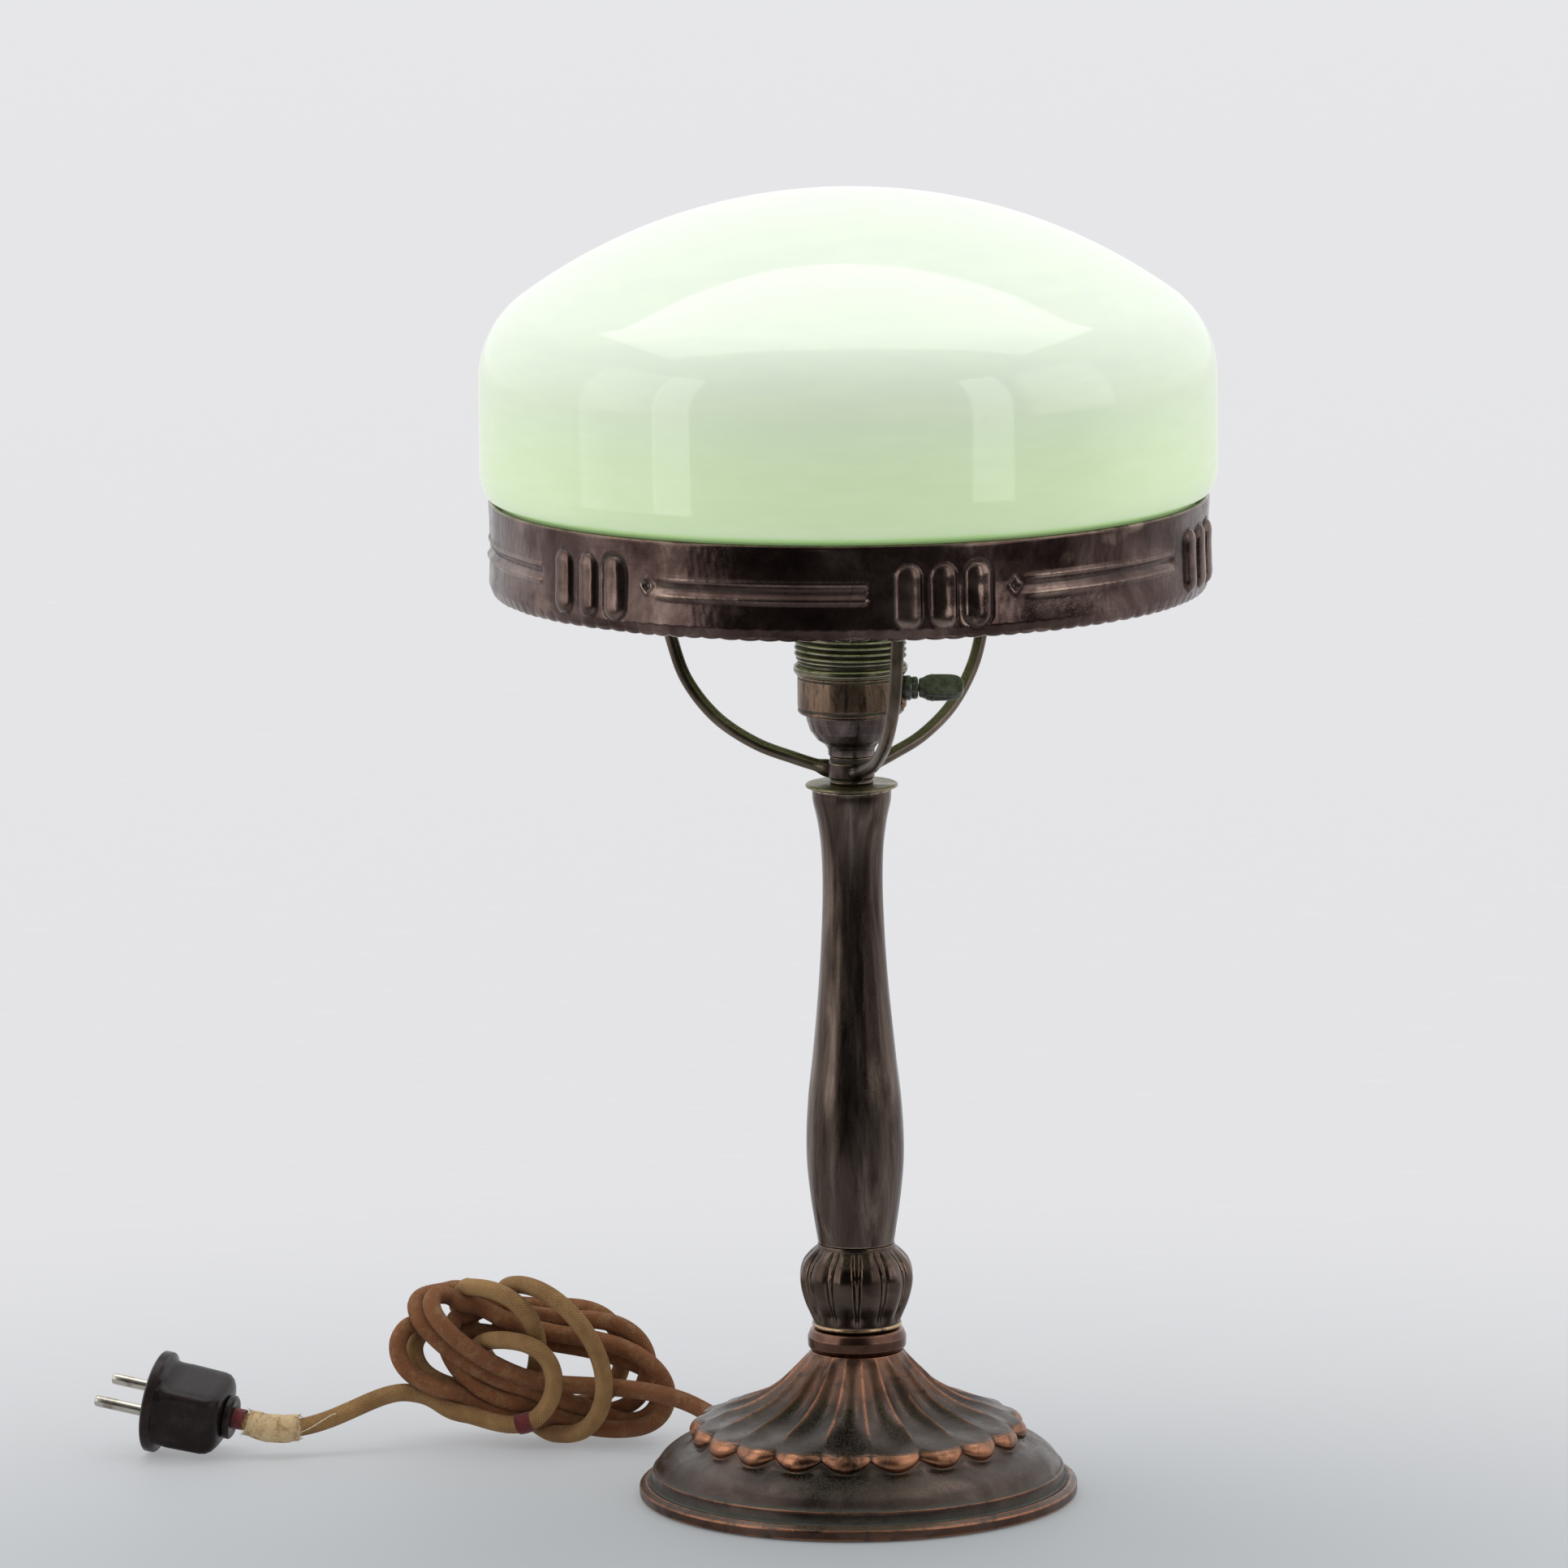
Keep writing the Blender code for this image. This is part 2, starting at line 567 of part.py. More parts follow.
def main():
    clear_scene()
    bronze = finish("dark bronze", (0.045, 0.030, 0.024), 0.38, 1.0)
    patina = finish("olive brass", (0.075, 0.070, 0.045), 0.42, 1.0)
    brass = finish("plain brass", (0.45, 0.33, 0.15), 0.35, 1.0)
    nickel = finish("nickel", (0.60, 0.58, 0.54), 0.25, 1.0)
    iron = finish("cast iron", (0.03, 0.03, 0.032), 0.75, 0.6)
    opal = finish("opal glass", (0.62, 0.78, 0.60), 0.08, 0.0, 0.15)
    glass = finish("clear glass", (0.95, 0.95, 0.95), 0.02, 0.0, 1.0)
    porcelain = finish("porcelain", (0.82, 0.80, 0.76), 0.22)
    bakelite = finish("dark bakelite", (0.018, 0.012, 0.012), 0.30)
    rubber = finish("black rubber", (0.02, 0.02, 0.02), 0.60)
    felt = finish("green felt", (0.03, 0.06, 0.04), 0.95)
    textile = finish("braided textile", (0.22, 0.09, 0.04), 0.85)
    cloth = finish("cloth tape", (0.55, 0.42, 0.22), 0.90)
    thread = finish("red thread", (0.22, 0.01, 0.01), 0.80)

    make_foot(bronze, iron, brass, felt, rubber)
    make_column(bronze, brass)
    make_arms(patina)
    make_gallery(bronze, brass)
    make_shade(opal)
    make_holder(patina, brass, porcelain)
    make_key(patina, brass)
    make_bulb(glass, brass, bakelite, nickel)
    make_cord(textile, cloth)
    make_plug(bakelite, nickel, brass, thread)


main()
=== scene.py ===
"""Looks for a bronze table lamp with an opal glass shade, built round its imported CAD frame.

Each operator makes one piece of the lamp, or one group of like pieces, in the frame's own
metres: +Z up, the lamp's axis on Z, the table at Z = 0 and the switch key along +X.
Outlines are written in millimetres and turned into metres where they are used.
"""

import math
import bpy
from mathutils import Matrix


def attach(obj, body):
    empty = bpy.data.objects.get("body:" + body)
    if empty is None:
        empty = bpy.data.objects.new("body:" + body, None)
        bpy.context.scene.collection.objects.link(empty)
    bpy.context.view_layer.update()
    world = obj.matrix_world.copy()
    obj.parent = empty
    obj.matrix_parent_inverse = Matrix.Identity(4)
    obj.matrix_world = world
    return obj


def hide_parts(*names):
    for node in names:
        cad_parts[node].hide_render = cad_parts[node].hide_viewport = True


bl_info = {
    "name": "Bronze Table Lamp",
    "version": (1, 0, 0),
    "blender": (4, 5, 0),
    "location": "View3D > Sidebar > Lamp",
    "description": "Builds a table lamp with a gallery ring, an opal glass shade and a hanked cord",
    "category": "Add Mesh",
}

import bmesh
import bpy
import numpy as np
from bpy.props import FloatProperty, FloatVectorProperty, IntProperty, PointerProperty
from mathutils import Matrix, Vector

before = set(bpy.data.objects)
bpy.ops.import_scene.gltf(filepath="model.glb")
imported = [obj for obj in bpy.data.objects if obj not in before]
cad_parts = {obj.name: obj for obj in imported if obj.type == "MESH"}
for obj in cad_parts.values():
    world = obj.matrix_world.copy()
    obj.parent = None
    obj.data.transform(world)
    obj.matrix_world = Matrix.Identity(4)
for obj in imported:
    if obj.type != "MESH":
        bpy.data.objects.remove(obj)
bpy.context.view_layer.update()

MM = 0.001
FULL_TURN = 2 * math.pi
LAMP, SHADE, SWITCH, BULB, BULB_TIP = "lamp", "shade", "switch", "bulb", "bulb_tip"
# the turn of the surface over a millimetre that starts to look worn or to hold dirt
SHARP = 0.35


# Outlines and lines

def mm(points):
    """Points given in millimetres, as an array in metres."""
    return np.array(points, float) * MM


def smooth_line(points, pieces):
    """Points on a curve that runs smoothly through every given point."""
    knots = np.array(points, float)
    knots = np.vstack([2 * knots[0] - knots[1], knots, 2 * knots[-1] - knots[-2]])
    t = np.linspace(0, 1, pieces, endpoint=False)[:, None]
    line = [0.5 * (2 * b + (c - a) * t + (2 * a - 5 * b + 4 * c - d) * t ** 2
                   + (3 * b - a - 3 * c + d) * t ** 3)
            for a, b, c, d in zip(knots, knots[1:], knots[2:], knots[3:])]
    return np.vstack([*line, knots[-2:-1]])


def rounded(corners, closed=False, arc=4):
    """An outline of (across, up, radius) corners, each eased into a small curve."""
    points = []
    count = len(corners)
    for i, (across, up, radius) in enumerate(corners):
        here = np.array((across, up), float)
        if radius == 0 or (not closed and i in (0, count - 1)):
            points.append(here)
            continue
        before = np.array(corners[i - 1][:2]) - here
        after = np.array(corners[(i + 1) % count][:2]) - here
        long_before, long_after = np.linalg.norm(before), np.linalg.norm(after)
        before, after = before / long_before, after / long_after
        half = 0.5 * math.acos(np.clip(before @ after, -1, 1))
        reach = min(radius / math.tan(half), 0.45 * long_before, 0.45 * long_after)
        for t in np.linspace(0, 1, arc + 1):
            points.append(here + before * reach * (1 - t) ** 2 + after * reach * t * t)
    return np.array(points) * MM


def evened(line, gap):
    """The same line with its points about gap apart."""
    along = np.concatenate([[0], np.cumsum(np.linalg.norm(np.diff(line, axis=0), axis=1))])
    at = np.linspace(0, along[-1], max(2, round(along[-1] / gap) + 1))
    return np.stack([np.interp(at, along, line[:, k]) for k in range(3)], axis=1)


def eased(value, low, high):
    """0 below low, 1 above high, and a smooth rise between them."""
    t = np.clip((value - low) / (high - low), 0, 1)
    return t * t * (3 - 2 * t)


def ripple(x, y, z, seed):
    """Soft unevenness from -1 to 1, made of a few waves that run in different directions."""
    draws = np.random.default_rng(seed)
    total = 0
    for _ in range(7):
        direction = draws.normal(size=3)
        direction /= np.linalg.norm(direction)
        wave = draws.uniform(0.6, 1.6)
        total = total + np.sin(wave * (direction[0] * x + direction[1] * y + direction[2] * z)
                               + draws.uniform(0, FULL_TURN))
    return total / 7


# Meshes

def quads(rows, columns, close_rows, close_columns):
    """Faces of a grid of points, joined end to end where asked."""
    return [(i * columns + j, (i + 1) % rows * columns + j,
             (i + 1) % rows * columns + (j + 1) % columns, i * columns + (j + 1) % columns)
            for i in range(rows if close_rows else rows - 1)
            for j in range(columns if close_columns else columns - 1)]


def welded(mesh, apart=2e-6):
    """Join points that lie on each other, and turn every face outward."""
    shape = bmesh.new()
    shape.from_mesh(mesh)
    bmesh.ops.remove_doubles(shape, verts=shape.verts, dist=apart)
    bmesh.ops.recalc_face_normals(shape, faces=shape.faces)
    shape.to_mesh(mesh)
    shape.free()


def mark_relief(mesh):
    """Store how sharply the surface bulges or sinks at each point, for wear and grime."""
    count = len(mesh.vertices)
    places, normals = np.empty(count * 3), np.empty(count * 3)
    mesh.vertices.foreach_get("co", places)
    mesh.vertex_normals.foreach_get("vector", normals)
    places, normals = places.reshape(-1, 3), normals.reshape(-1, 3)
    edges = np.empty(len(mesh.edges) * 2, int)
    mesh.edges.foreach_get("vertices", edges)
    a, b = edges.reshape(-1, 2).T
    step = places[a] - places[b]
    square = np.maximum((step * step).sum(1), 1e-12)
    bend, number = np.zeros(count), np.zeros(count)
    np.add.at(bend, a, 2 * (normals[a] * step).sum(1) / square)
    np.add.at(bend, b, -2 * (normals[b] * step).sum(1) / square)
    np.add.at(number, a, 1)
    np.add.at(number, b, 1)
    bend *= MM / np.maximum(number, 1)
    for name, value in (("rubbed", eased(bend, 0.3 * SHARP, 2 * SHARP)),
                        ("hollow", eased(-bend, 0.2 * SHARP, 1.5 * SHARP))):
        layer = mesh.attributes.new(name, "FLOAT", "POINT")
        layer.data.foreach_set("value", value.astype(np.float32))


def set_piece(item, material, body, stands_for=(), crease=38):
    """Shade a made object, give it its finish, and hang it on its CAD body."""
    item.data.materials.clear()
    item.data.materials.append(material)
    item.data.shade_smooth()
    item.data.set_sharp_from_angle(angle=math.radians(crease))
    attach(item, body)
    if stands_for:
        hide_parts(*stands_for)
    return item


def new_object(name, mesh):
    item = bpy.data.objects.new(name, mesh)
    bpy.context.scene.collection.objects.link(item)
    return item


def grid_object(name, points, close_rows=True, close_columns=False, place=None, apart=2e-6):
    """An object from a grid of points: rows go round the piece, columns along it."""
    rows, columns = points.shape[:2]
    mesh = bpy.data.meshes.new(name)
    flat = points.reshape(-1, 3)
    if place is not None:
        matrix = np.array(place)
        flat = flat @ matrix[:3, :3].T + matrix[:3, 3]
    mesh.from_pydata(flat.tolist(), [], quads(rows, columns, close_rows, close_columns))
    welded(mesh, apart)
    mark_relief(mesh)
    return new_object(name, mesh)


def turned_points(outline, steps):
    """An outline of (radius, height) in metres, turned about Z."""
    angle = np.linspace(0, FULL_TURN, steps, endpoint=False)[:, None]
    return np.stack([np.cos(angle) * outline[:, 0], np.sin(angle) * outline[:, 0],
                     np.ones_like(angle) * outline[:, 1]], axis=2)


def turned(name, outline, steps=96, closed=False, place=None):
    return grid_object(name, turned_points(outline, steps), True, closed, place)


def tube_points(line, radius, sides, start=None, flat=1.0):
    """A round tube along a line; radius is one number, or one for each point of the line."""
    line = np.array(line, float)
    ahead = np.gradient(line, axis=0)
    ahead /= np.linalg.norm(ahead, axis=1)[:, None]
    radius = np.broadcast_to(radius, len(line))
    aside = np.array(start if start is not None else (0.0, 0.0, 1.0), float)
    angle = np.linspace(0, FULL_TURN, sides, endpoint=False)
    rings = []
    for place, way, size in zip(line, ahead, radius):
        aside = aside - (aside @ way) * way
        aside /= np.linalg.norm(aside)
        other = np.cross(way, aside)
        rings.append(place + size * (np.cos(angle)[:, None] * aside * flat
                                     + np.sin(angle)[:, None] * other))
    return np.array(rings)


def capped(rings):
    """Rings with both ends drawn in to a point."""
    first, last = rings[0].mean(axis=0), rings[-1].mean(axis=0)
    size = rings.shape[1]
    return np.concatenate([np.tile(first, (1, size, 1)), rings, np.tile(last, (1, size, 1))])


def squared_ring(x, wide, high, power, sides):
    """One section across X, from an ellipse (power 2) to nearly a rectangle."""
    angle = np.linspace(0, FULL_TURN, sides, endpoint=False)
    y, z = (size * np.sign(way) * np.abs(way) ** (2 / power)
            for size, way in ((wide, np.cos(angle)), (high, np.sin(angle))))
    return np.stack([np.full(sides, x), y, z], axis=1)


def tube(name, line, radius, sides=16, start=None):
    rings = capped(tube_points(line, radius, sides, start))
    return grid_object(name, rings, close_rows=False, close_columns=True)


def join_tube(shape, rings):
    """Add a tube with flat ends to a mesh that is being made."""
    rows = [[shape.verts.new(point) for point in ring] for ring in rings]
    sides = len(rings[0])
    for a, b in zip(rows, rows[1:]):
        for k in range(sides):
            shape.faces.new((a[k], b[k], b[(k + 1) % sides], a[(k + 1) % sides]))
    shape.faces.new(rows[0][::-1])
    shape.faces.new(rows[-1])


def carve(item, cutter):
    """Cut one object out of another, keep the result as plain mesh, and drop the cutter."""
    boolean = item.modifiers.new("Cut", "BOOLEAN")
    boolean.operation = "DIFFERENCE"
    boolean.solver = "EXACT"
    boolean.object = cutter
    made = item.evaluated_get(bpy.context.evaluated_depsgraph_get())
    mesh = bpy.data.meshes.new_from_object(made)
    item.modifiers.clear()
    item.data = mesh
    for name in ("rubbed", "hollow"):
        mesh.attributes.remove(mesh.attributes[name])
    mark_relief(mesh)
    bpy.data.objects.remove(cutter, do_unlink=True)
    return item


def shift_value(item, name, test):
    """Raise a stored wear or grime value where test(x, y, z) says how much."""
    mesh = item.data
    places = np.empty(len(mesh.vertices) * 3)
    mesh.vertices.foreach_get("co", places)
    places = places.reshape(-1, 3) / MM
    layer = mesh.attributes[name]
    value = np.empty(len(places), np.float32)
    layer.data.foreach_get("value", value)
    value = np.clip(value + test(*places.T), 0, 1)
    layer.data.foreach_set("value", value.astype(np.float32))


# Finishes

class Finish:
    """A material with a Principled shader, and short calls that add nodes to it."""

    def __init__(self, name, colour, roughness, **sockets):
        self.material = bpy.data.materials.new(name)
        self.material.use_nodes = True
        self.material.diffuse_color = (*colour, 1.0)
        self.tree = self.material.node_tree
        self.shader = self.tree.nodes["Principled BSDF"]
        self.shader.inputs["Base Color"].default_value = (*colour, 1.0)
        self.shader.inputs["Roughness"].default_value = roughness
        for socket, value in sockets.items():
            self.shader.inputs[socket.replace("_", " ")].default_value = value
        self.place = self.node("ShaderNodeTexCoord").outputs["Object"]

    def node(self, kind, **settings):
        made = self.tree.nodes.new(kind)
        for name, value in settings.items():
            setattr(made, name, value)
        return made

    def feed(self, socket, value):
        """Link a socket to another, or set it to a plain value."""
        if isinstance(value, bpy.types.NodeSocket):
            self.tree.links.new(value, socket)
        elif isinstance(value, tuple) and len(value) == 3 and socket.type == "RGBA":
            socket.default_value = (*value, 1.0)
        else:
            socket.default_value = value

    def drive(self, socket, value):
        self.feed(self.shader.inputs[socket], value)

    def noise(self, scale, detail=4.0, rough=0.55, stretch=None, twist=0.0):
        source = self.place
        if stretch is not None:
            mapping = self.node("ShaderNodeMapping")
            mapping.inputs["Scale"].default_value = stretch
            self.feed(mapping.inputs["Vector"], source)
            source = mapping.outputs["Vector"]
        made = self.node("ShaderNodeTexNoise")
        self.feed(made.inputs["Vector"], source)
        made.inputs["Scale"].default_value = scale
        made.inputs["Detail"].default_value = detail
        made.inputs["Roughness"].default_value = rough
        made.inputs["Distortion"].default_value = twist
        return made.outputs["Fac"]

    def cells(self, scale):
        made = self.node("ShaderNodeTexVoronoi")
        self.feed(made.inputs["Vector"], self.place)
        made.inputs["Scale"].default_value = scale
        return made.outputs["Distance"]

    def between(self, value, low, high, to_low=0.0, to_high=1.0):
        made = self.node("ShaderNodeMapRange", interpolation_type="SMOOTHSTEP")
        for socket, number in zip(("Value", "From Min", "From Max", "To Min", "To Max"),
                                  (value, low, high, to_low, to_high)):
            self.feed(made.inputs[socket], number)
        return made.outputs["Result"]

    def sum(self, operation, first, second=0.0):
        made = self.node("ShaderNodeMath", operation=operation)
        self.feed(made.inputs[0], first)
        self.feed(made.inputs[1], second)
        return made.outputs[0]

    def ramp(self, value, *stops):
        made = self.node("ShaderNodeValToRGB")
        elements = made.color_ramp.elements
        for i, (at, colour) in enumerate(stops):
            element = elements[i] if i < 2 else elements.new(at)
            element.position = at
            element.color = (*colour, 1.0)
        self.feed(made.inputs["Fac"], value)
        return made.outputs["Color"]

    def mix(self, share, first, second):
        made = self.node("ShaderNodeMix", data_type="RGBA")
        self.feed(made.inputs["Factor"], share)
        self.feed(made.inputs[6], first)
        self.feed(made.inputs[7], second)
        return made.outputs[2]

    def stored(self, name):
        return self.node("ShaderNodeAttribute", attribute_name=name).outputs["Fac"]

    def upward(self):
        """1 on faces that look up, 0 on the rest."""
        parts = self.node("ShaderNodeSeparateXYZ")
        self.feed(parts.inputs[0], self.node("ShaderNodeNewGeometry").outputs["Normal"])
        return self.between(parts.outputs["Z"], 0.35, 0.95)

    def bump(self, height, depth, strength=1.0):
        made = self.node("ShaderNodeBump")
        made.inputs["Strength"].default_value = strength
        made.inputs["Distance"].default_value = depth
        self.feed(made.inputs["Height"], height)
        if self.shader.inputs["Normal"].is_linked:
            self.feed(made.inputs["Normal"], self.shader.inputs["Normal"].links[0].from_socket)
        self.drive("Normal", made.outputs["Normal"])


def aged_metal(name, deep, middle, light, worn, smooth=0.24, rough=0.46, streak=None,
               grime=(0.045, 0.048, 0.036), dust=0.0, pits=0.5, dents=0.0):
    """Old plated or browned metal: cloudy tone, streaks, rubbed edges and grime in hollows."""
    paint = Finish(name, middle, 0.35, Metallic=1.0)
    cloud = paint.noise(34, 5, 0.62, streak, 0.6)
    tone = paint.ramp(cloud, (0.30, deep), (0.50, middle), (0.72, light))
    speck = paint.noise(900, 3, 0.7)
    tone = paint.mix(paint.between(speck, 0.60, 0.78, 0.0, 0.55), tone, deep)
    patch = paint.noise(95, 6, 0.68, streak, 0.9)
    edge = paint.sum("MULTIPLY", paint.stored("rubbed"), paint.between(patch, 0.30, 0.58))
    tone = paint.mix(edge, tone, worn)
    sunk = paint.sum("MULTIPLY", paint.stored("hollow"),
                     paint.between(paint.noise(260, 4, 0.7), 0.28, 0.55, 0.35, 0.95))
    dusty = sunk
    if dust:
        settled = paint.sum("MULTIPLY", paint.upward(),
                            paint.between(paint.noise(1300, 4, 0.8), 0.46, 0.58, 0.0, dust))
        dusty = paint.sum("MAXIMUM", sunk, settled)
    tone = paint.mix(dusty, tone, grime)
    paint.drive("Base Color", tone)
    paint.drive("Metallic", paint.between(dusty, 0.0, 1.0, 1.0, 0.35))
    shine = paint.between(paint.noise(60, 5, 0.7, streak, 0.4), 0.30, 0.70, smooth, rough)
    paint.drive("Roughness", paint.sum("ADD", shine, paint.between(dusty, 0, 1, 0.0, 0.28)))
    paint.bump(paint.noise(140, 4, 0.6, streak), 0.00012, 0.35)
    if dents:
        paint.bump(paint.noise(62, 1, 0.4, (1.0, 1.0, 0.6)), dents, 0.8)
    paint.bump(paint.between(paint.cells(1300), 0.0, 0.35), 0.00004, pits)
    return paint.material


def plain_metal(name, colour, roughness, stain, brushed=None):
    """Cleaner turned metal with a faint tool grain and small stains."""
    paint = Finish(name, colour, roughness, Metallic=1.0)
    cloud = paint.noise(120, 5, 0.65)
    tone = paint.mix(paint.between(cloud, 0.48, 0.72, 0.0, 0.7), colour, stain)
    tone = paint.mix(paint.sum("MULTIPLY", paint.stored("hollow"), 0.8), tone, stain)
    paint.drive("Base Color", tone)
    paint.drive("Roughness", paint.between(paint.noise(340, 4, 0.6), 0.3, 0.7,
                                           roughness * 0.75, roughness * 1.35))
    paint.bump(paint.noise(700, 3, 0.6, brushed), 0.00003, 0.5)
    return paint.material


def plain_finish(name, colour, second, roughness, scale=160, depth=0.0001, **sockets):
    """Ordinary matt or glossy stuff with a slight change of tone and a fine surface."""
    paint = Finish(name, colour, roughness, **sockets)
    tone = paint.mix(paint.between(paint.noise(scale, 5, 0.65), 0.35, 0.68), colour, second)
    paint.drive("Base Color", tone)
    paint.drive("Roughness", paint.between(paint.noise(scale * 2.3, 4, 0.6), 0.3, 0.7,
                                           roughness * 0.8, min(1.0, roughness * 1.2)))
    paint.bump(paint.noise(scale * 6, 4, 0.65), depth, 0.6)
    return paint.material


# Stage

class LampStageProps(bpy.types.PropertyGroup):
    floor_colour: FloatVectorProperty(
        name="Floor", description="Colour of the table round the lamp", subtype="COLOR",
        default=(0.435, 0.455, 0.47), min=0.0, max=1.0)
    sweep_colour: FloatVectorProperty(
        name="Backdrop", description="Colour of the floor far behind the lamp", subtype="COLOR",
        default=(0.718, 0.718, 0.738), min=0.0, max=1.0)
    floor_size: FloatProperty(
        name="Floor size", description="Half the width of the floor", default=9.0, unit="LENGTH")
    lens: FloatProperty(
        name="Lens", description="Focal length of the camera", default=251.55, subtype="NONE")


class LAMP_OT_stage(bpy.types.Operator):
    """Make the floor, the light and the camera"""
    bl_idname = "lamp.stage"
    bl_label = "Stage"

    CAMERA_PLACE = (-0.0231, -3.690, 0.869)
    CAMERA_DOWN = math.radians(9.55)
    CAMERA_ROLL = math.radians(-0.62)
    # name, place, size across and up, watts
    LAMPS = (
        ("overhead_bank", (0.0, 0.24, 1.62), (2.1, 1.05), 10.0),
        ("left_strip", (-0.97, -0.71, 0.62), (0.26, 1.15), 1.5),
        ("left_wash", (-1.16, -0.34, 0.62), (0.62, 1.15), 1.7),
        ("right_strip", (0.82, -0.88, 0.70), (0.28, 1.0), 1.4),
        ("right_wash", (1.13, -0.40, 0.74), (0.66, 0.92), 1.4),
    )
    ABOVE = 1.0
    WARM_WHITE = (1.0, 0.99, 0.98)
    NEAR_PATCH = (-0.04, -0.32, 0.0)
    BACKDROP = 0.80

    def execute(self, context):
        look = context.scene.lamp_stage
        size = look.floor_size
        mesh = bpy.data.meshes.new("floor")
        mesh.from_pydata([(-size, -size, 0), (size, -size, 0), (size, size, 0), (-size, size, 0)],
                         [], [(0, 1, 2, 3)])
        floor = new_object("floor", mesh)
        floor.data.materials.append(self.floor_finish(look))
        for lamp in self.LAMPS:
            self.area_light(*lamp)
        self.make_world(context)
        self.make_camera(context, look.lens)
        return {"FINISHED"}

    def floor_finish(self, look):
        paint = Finish("painted floor", tuple(look.floor_colour), 0.6, Specular_IOR_Level=0.12)
        away = paint.node("ShaderNodeVectorMath", operation="DISTANCE")
        paint.feed(away.inputs[0], paint.place)
        away.inputs[1].default_value = self.NEAR_PATCH
        far = paint.between(away.outputs["Value"], 0.12, 0.85)
        tone = paint.mix(far, tuple(look.floor_colour), (0.0, 0.0, 0.0))
        paint.shader.inputs["Emission Color"].default_value = (*look.sweep_colour, 1.0)
        parts = paint.node("ShaderNodeSeparateXYZ")
        paint.feed(parts.inputs[0], paint.place)
        # in front, the floor is dim only where polished metal and glass mirror it
        lit = paint.between(parts.outputs["Y"], -0.75, 0.35, 0.06, 1.0)
        mirrored = paint.node("ShaderNodeLightPath").outputs["Is Glossy Ray"]
        lit = paint.sum("MAXIMUM", lit, paint.sum("SUBTRACT", 1.0, mirrored))
        paint.drive("Emission Strength", paint.sum("MULTIPLY", far, lit))
        scuff = paint.between(paint.noise(30, 6, 0.72, (1.0, 3.0, 1.0)), 0.55, 0.80, 0.0, 0.10)
        tone = paint.mix(scuff, tone, (0.36, 0.40, 0.42))
        paint.drive("Base Color", tone)
        paint.bump(paint.noise(500, 4, 0.6), 0.0001, 0.3)
        return paint.material

    def area_light(self, name, place, size, watts):
        """A soft panel: overhead it faces down, at the sides it faces the lamp's axis."""
        lamp = bpy.data.lights.new(name, "AREA")
        lamp.shape = "RECTANGLE"
        lamp.size, lamp.size_y = size
        lamp.energy = watts
        item = new_object(name, lamp)
        item.location = place
        if place[2] > self.ABOVE:
            lamp.color = self.WARM_WHITE
        else:
            level = Vector((0.0, 0.0, place[2])) - Vector(place)
            item.rotation_euler = level.to_track_quat("-Z", "Y").to_euler()
        item.visible_camera = False

    def make_world(self, context):
        """Pale where it is seen; in front, half as bright for soft light and dim for mirrors."""
        world = bpy.data.worlds.new("studio")
        world.use_nodes = True
        context.scene.world = world
        tree = world.node_tree
        link = tree.links.new

        def node(kind, **settings):
            made = tree.nodes.new(kind)
            for name, value in settings.items():
                setattr(made, name, value)
            return made

        parts = node("ShaderNodeSeparateXYZ")
        link(node("ShaderNodeTexCoord").outputs["Generated"], parts.inputs[0])
        front = node("ShaderNodeMapRange", interpolation_type="SMOOTHSTEP")
        link(parts.outputs["Y"], front.inputs["Value"])
        for socket, value in (("From Min", -0.90), ("From Max", 0.10),
                              ("To Min", 0.055), ("To Max", 1.0)):
            front.inputs[socket].default_value = value
        seen = node("ShaderNodeLightPath")
        soft = node("ShaderNodeMath", operation="MULTIPLY_ADD")
        soft.inputs[1].default_value, soft.inputs[2].default_value = -0.5, 0.5
        link(seen.outputs["Is Glossy Ray"], soft.inputs[0])
        most = node("ShaderNodeMath", operation="MAXIMUM")
        link(front.outputs["Result"], most.inputs[0])
        link(soft.outputs[0], most.inputs[1])
        plain = node("ShaderNodeMix", data_type="FLOAT")
        link(seen.outputs["Is Camera Ray"], plain.inputs[0])
        link(most.outputs[0], plain.inputs[2])
        plain.inputs[3].default_value = self.BACKDROP
        back = tree.nodes["Background"]
        back.inputs["Color"].default_value = (0.97, 0.985, 1.0, 1.0)
        link(plain.outputs[0], back.inputs["Strength"])

    def make_camera(self, context, lens):
        data = bpy.data.cameras.new("camera")
        data.lens = lens
        data.sensor_width = 36.0
        data.clip_start, data.clip_end = 0.1, 60.0
        camera = bpy.data.objects.new("camera", data)
        context.scene.collection.objects.link(camera)
        tilt = math.pi / 2 - self.CAMERA_DOWN
        camera.matrix_world = (Matrix.Translation(self.CAMERA_PLACE)
                               @ Matrix.Rotation(tilt, 4, "X")
                               @ Matrix.Rotation(self.CAMERA_ROLL, 4, "Z"))
        context.scene.camera = camera


# Cord

class LampCordProps(bpy.types.PropertyGroup):
    diameter: FloatProperty(
        name="Diameter", description="Thickness of the braided cord", default=0.0063,
        min=0.003, max=0.012, unit="LENGTH")
    near_colour: FloatVectorProperty(
        name="Lamp end", description="Braid colour near the lamp", subtype="COLOR",
        default=(0.41, 0.160, 0.066), min=0.0, max=1.0)
    plug_colour: FloatVectorProperty(
        name="Plug end", description="Braid colour near the plug", subtype="COLOR",
        default=(0.60, 0.345, 0.135), min=0.0, max=1.0)
    tape_colour: FloatVectorProperty(
        name="Tape", description="Colour of the cloth tape", subtype="COLOR",
        default=(0.60, 0.44, 0.24), min=0.0, max=1.0)


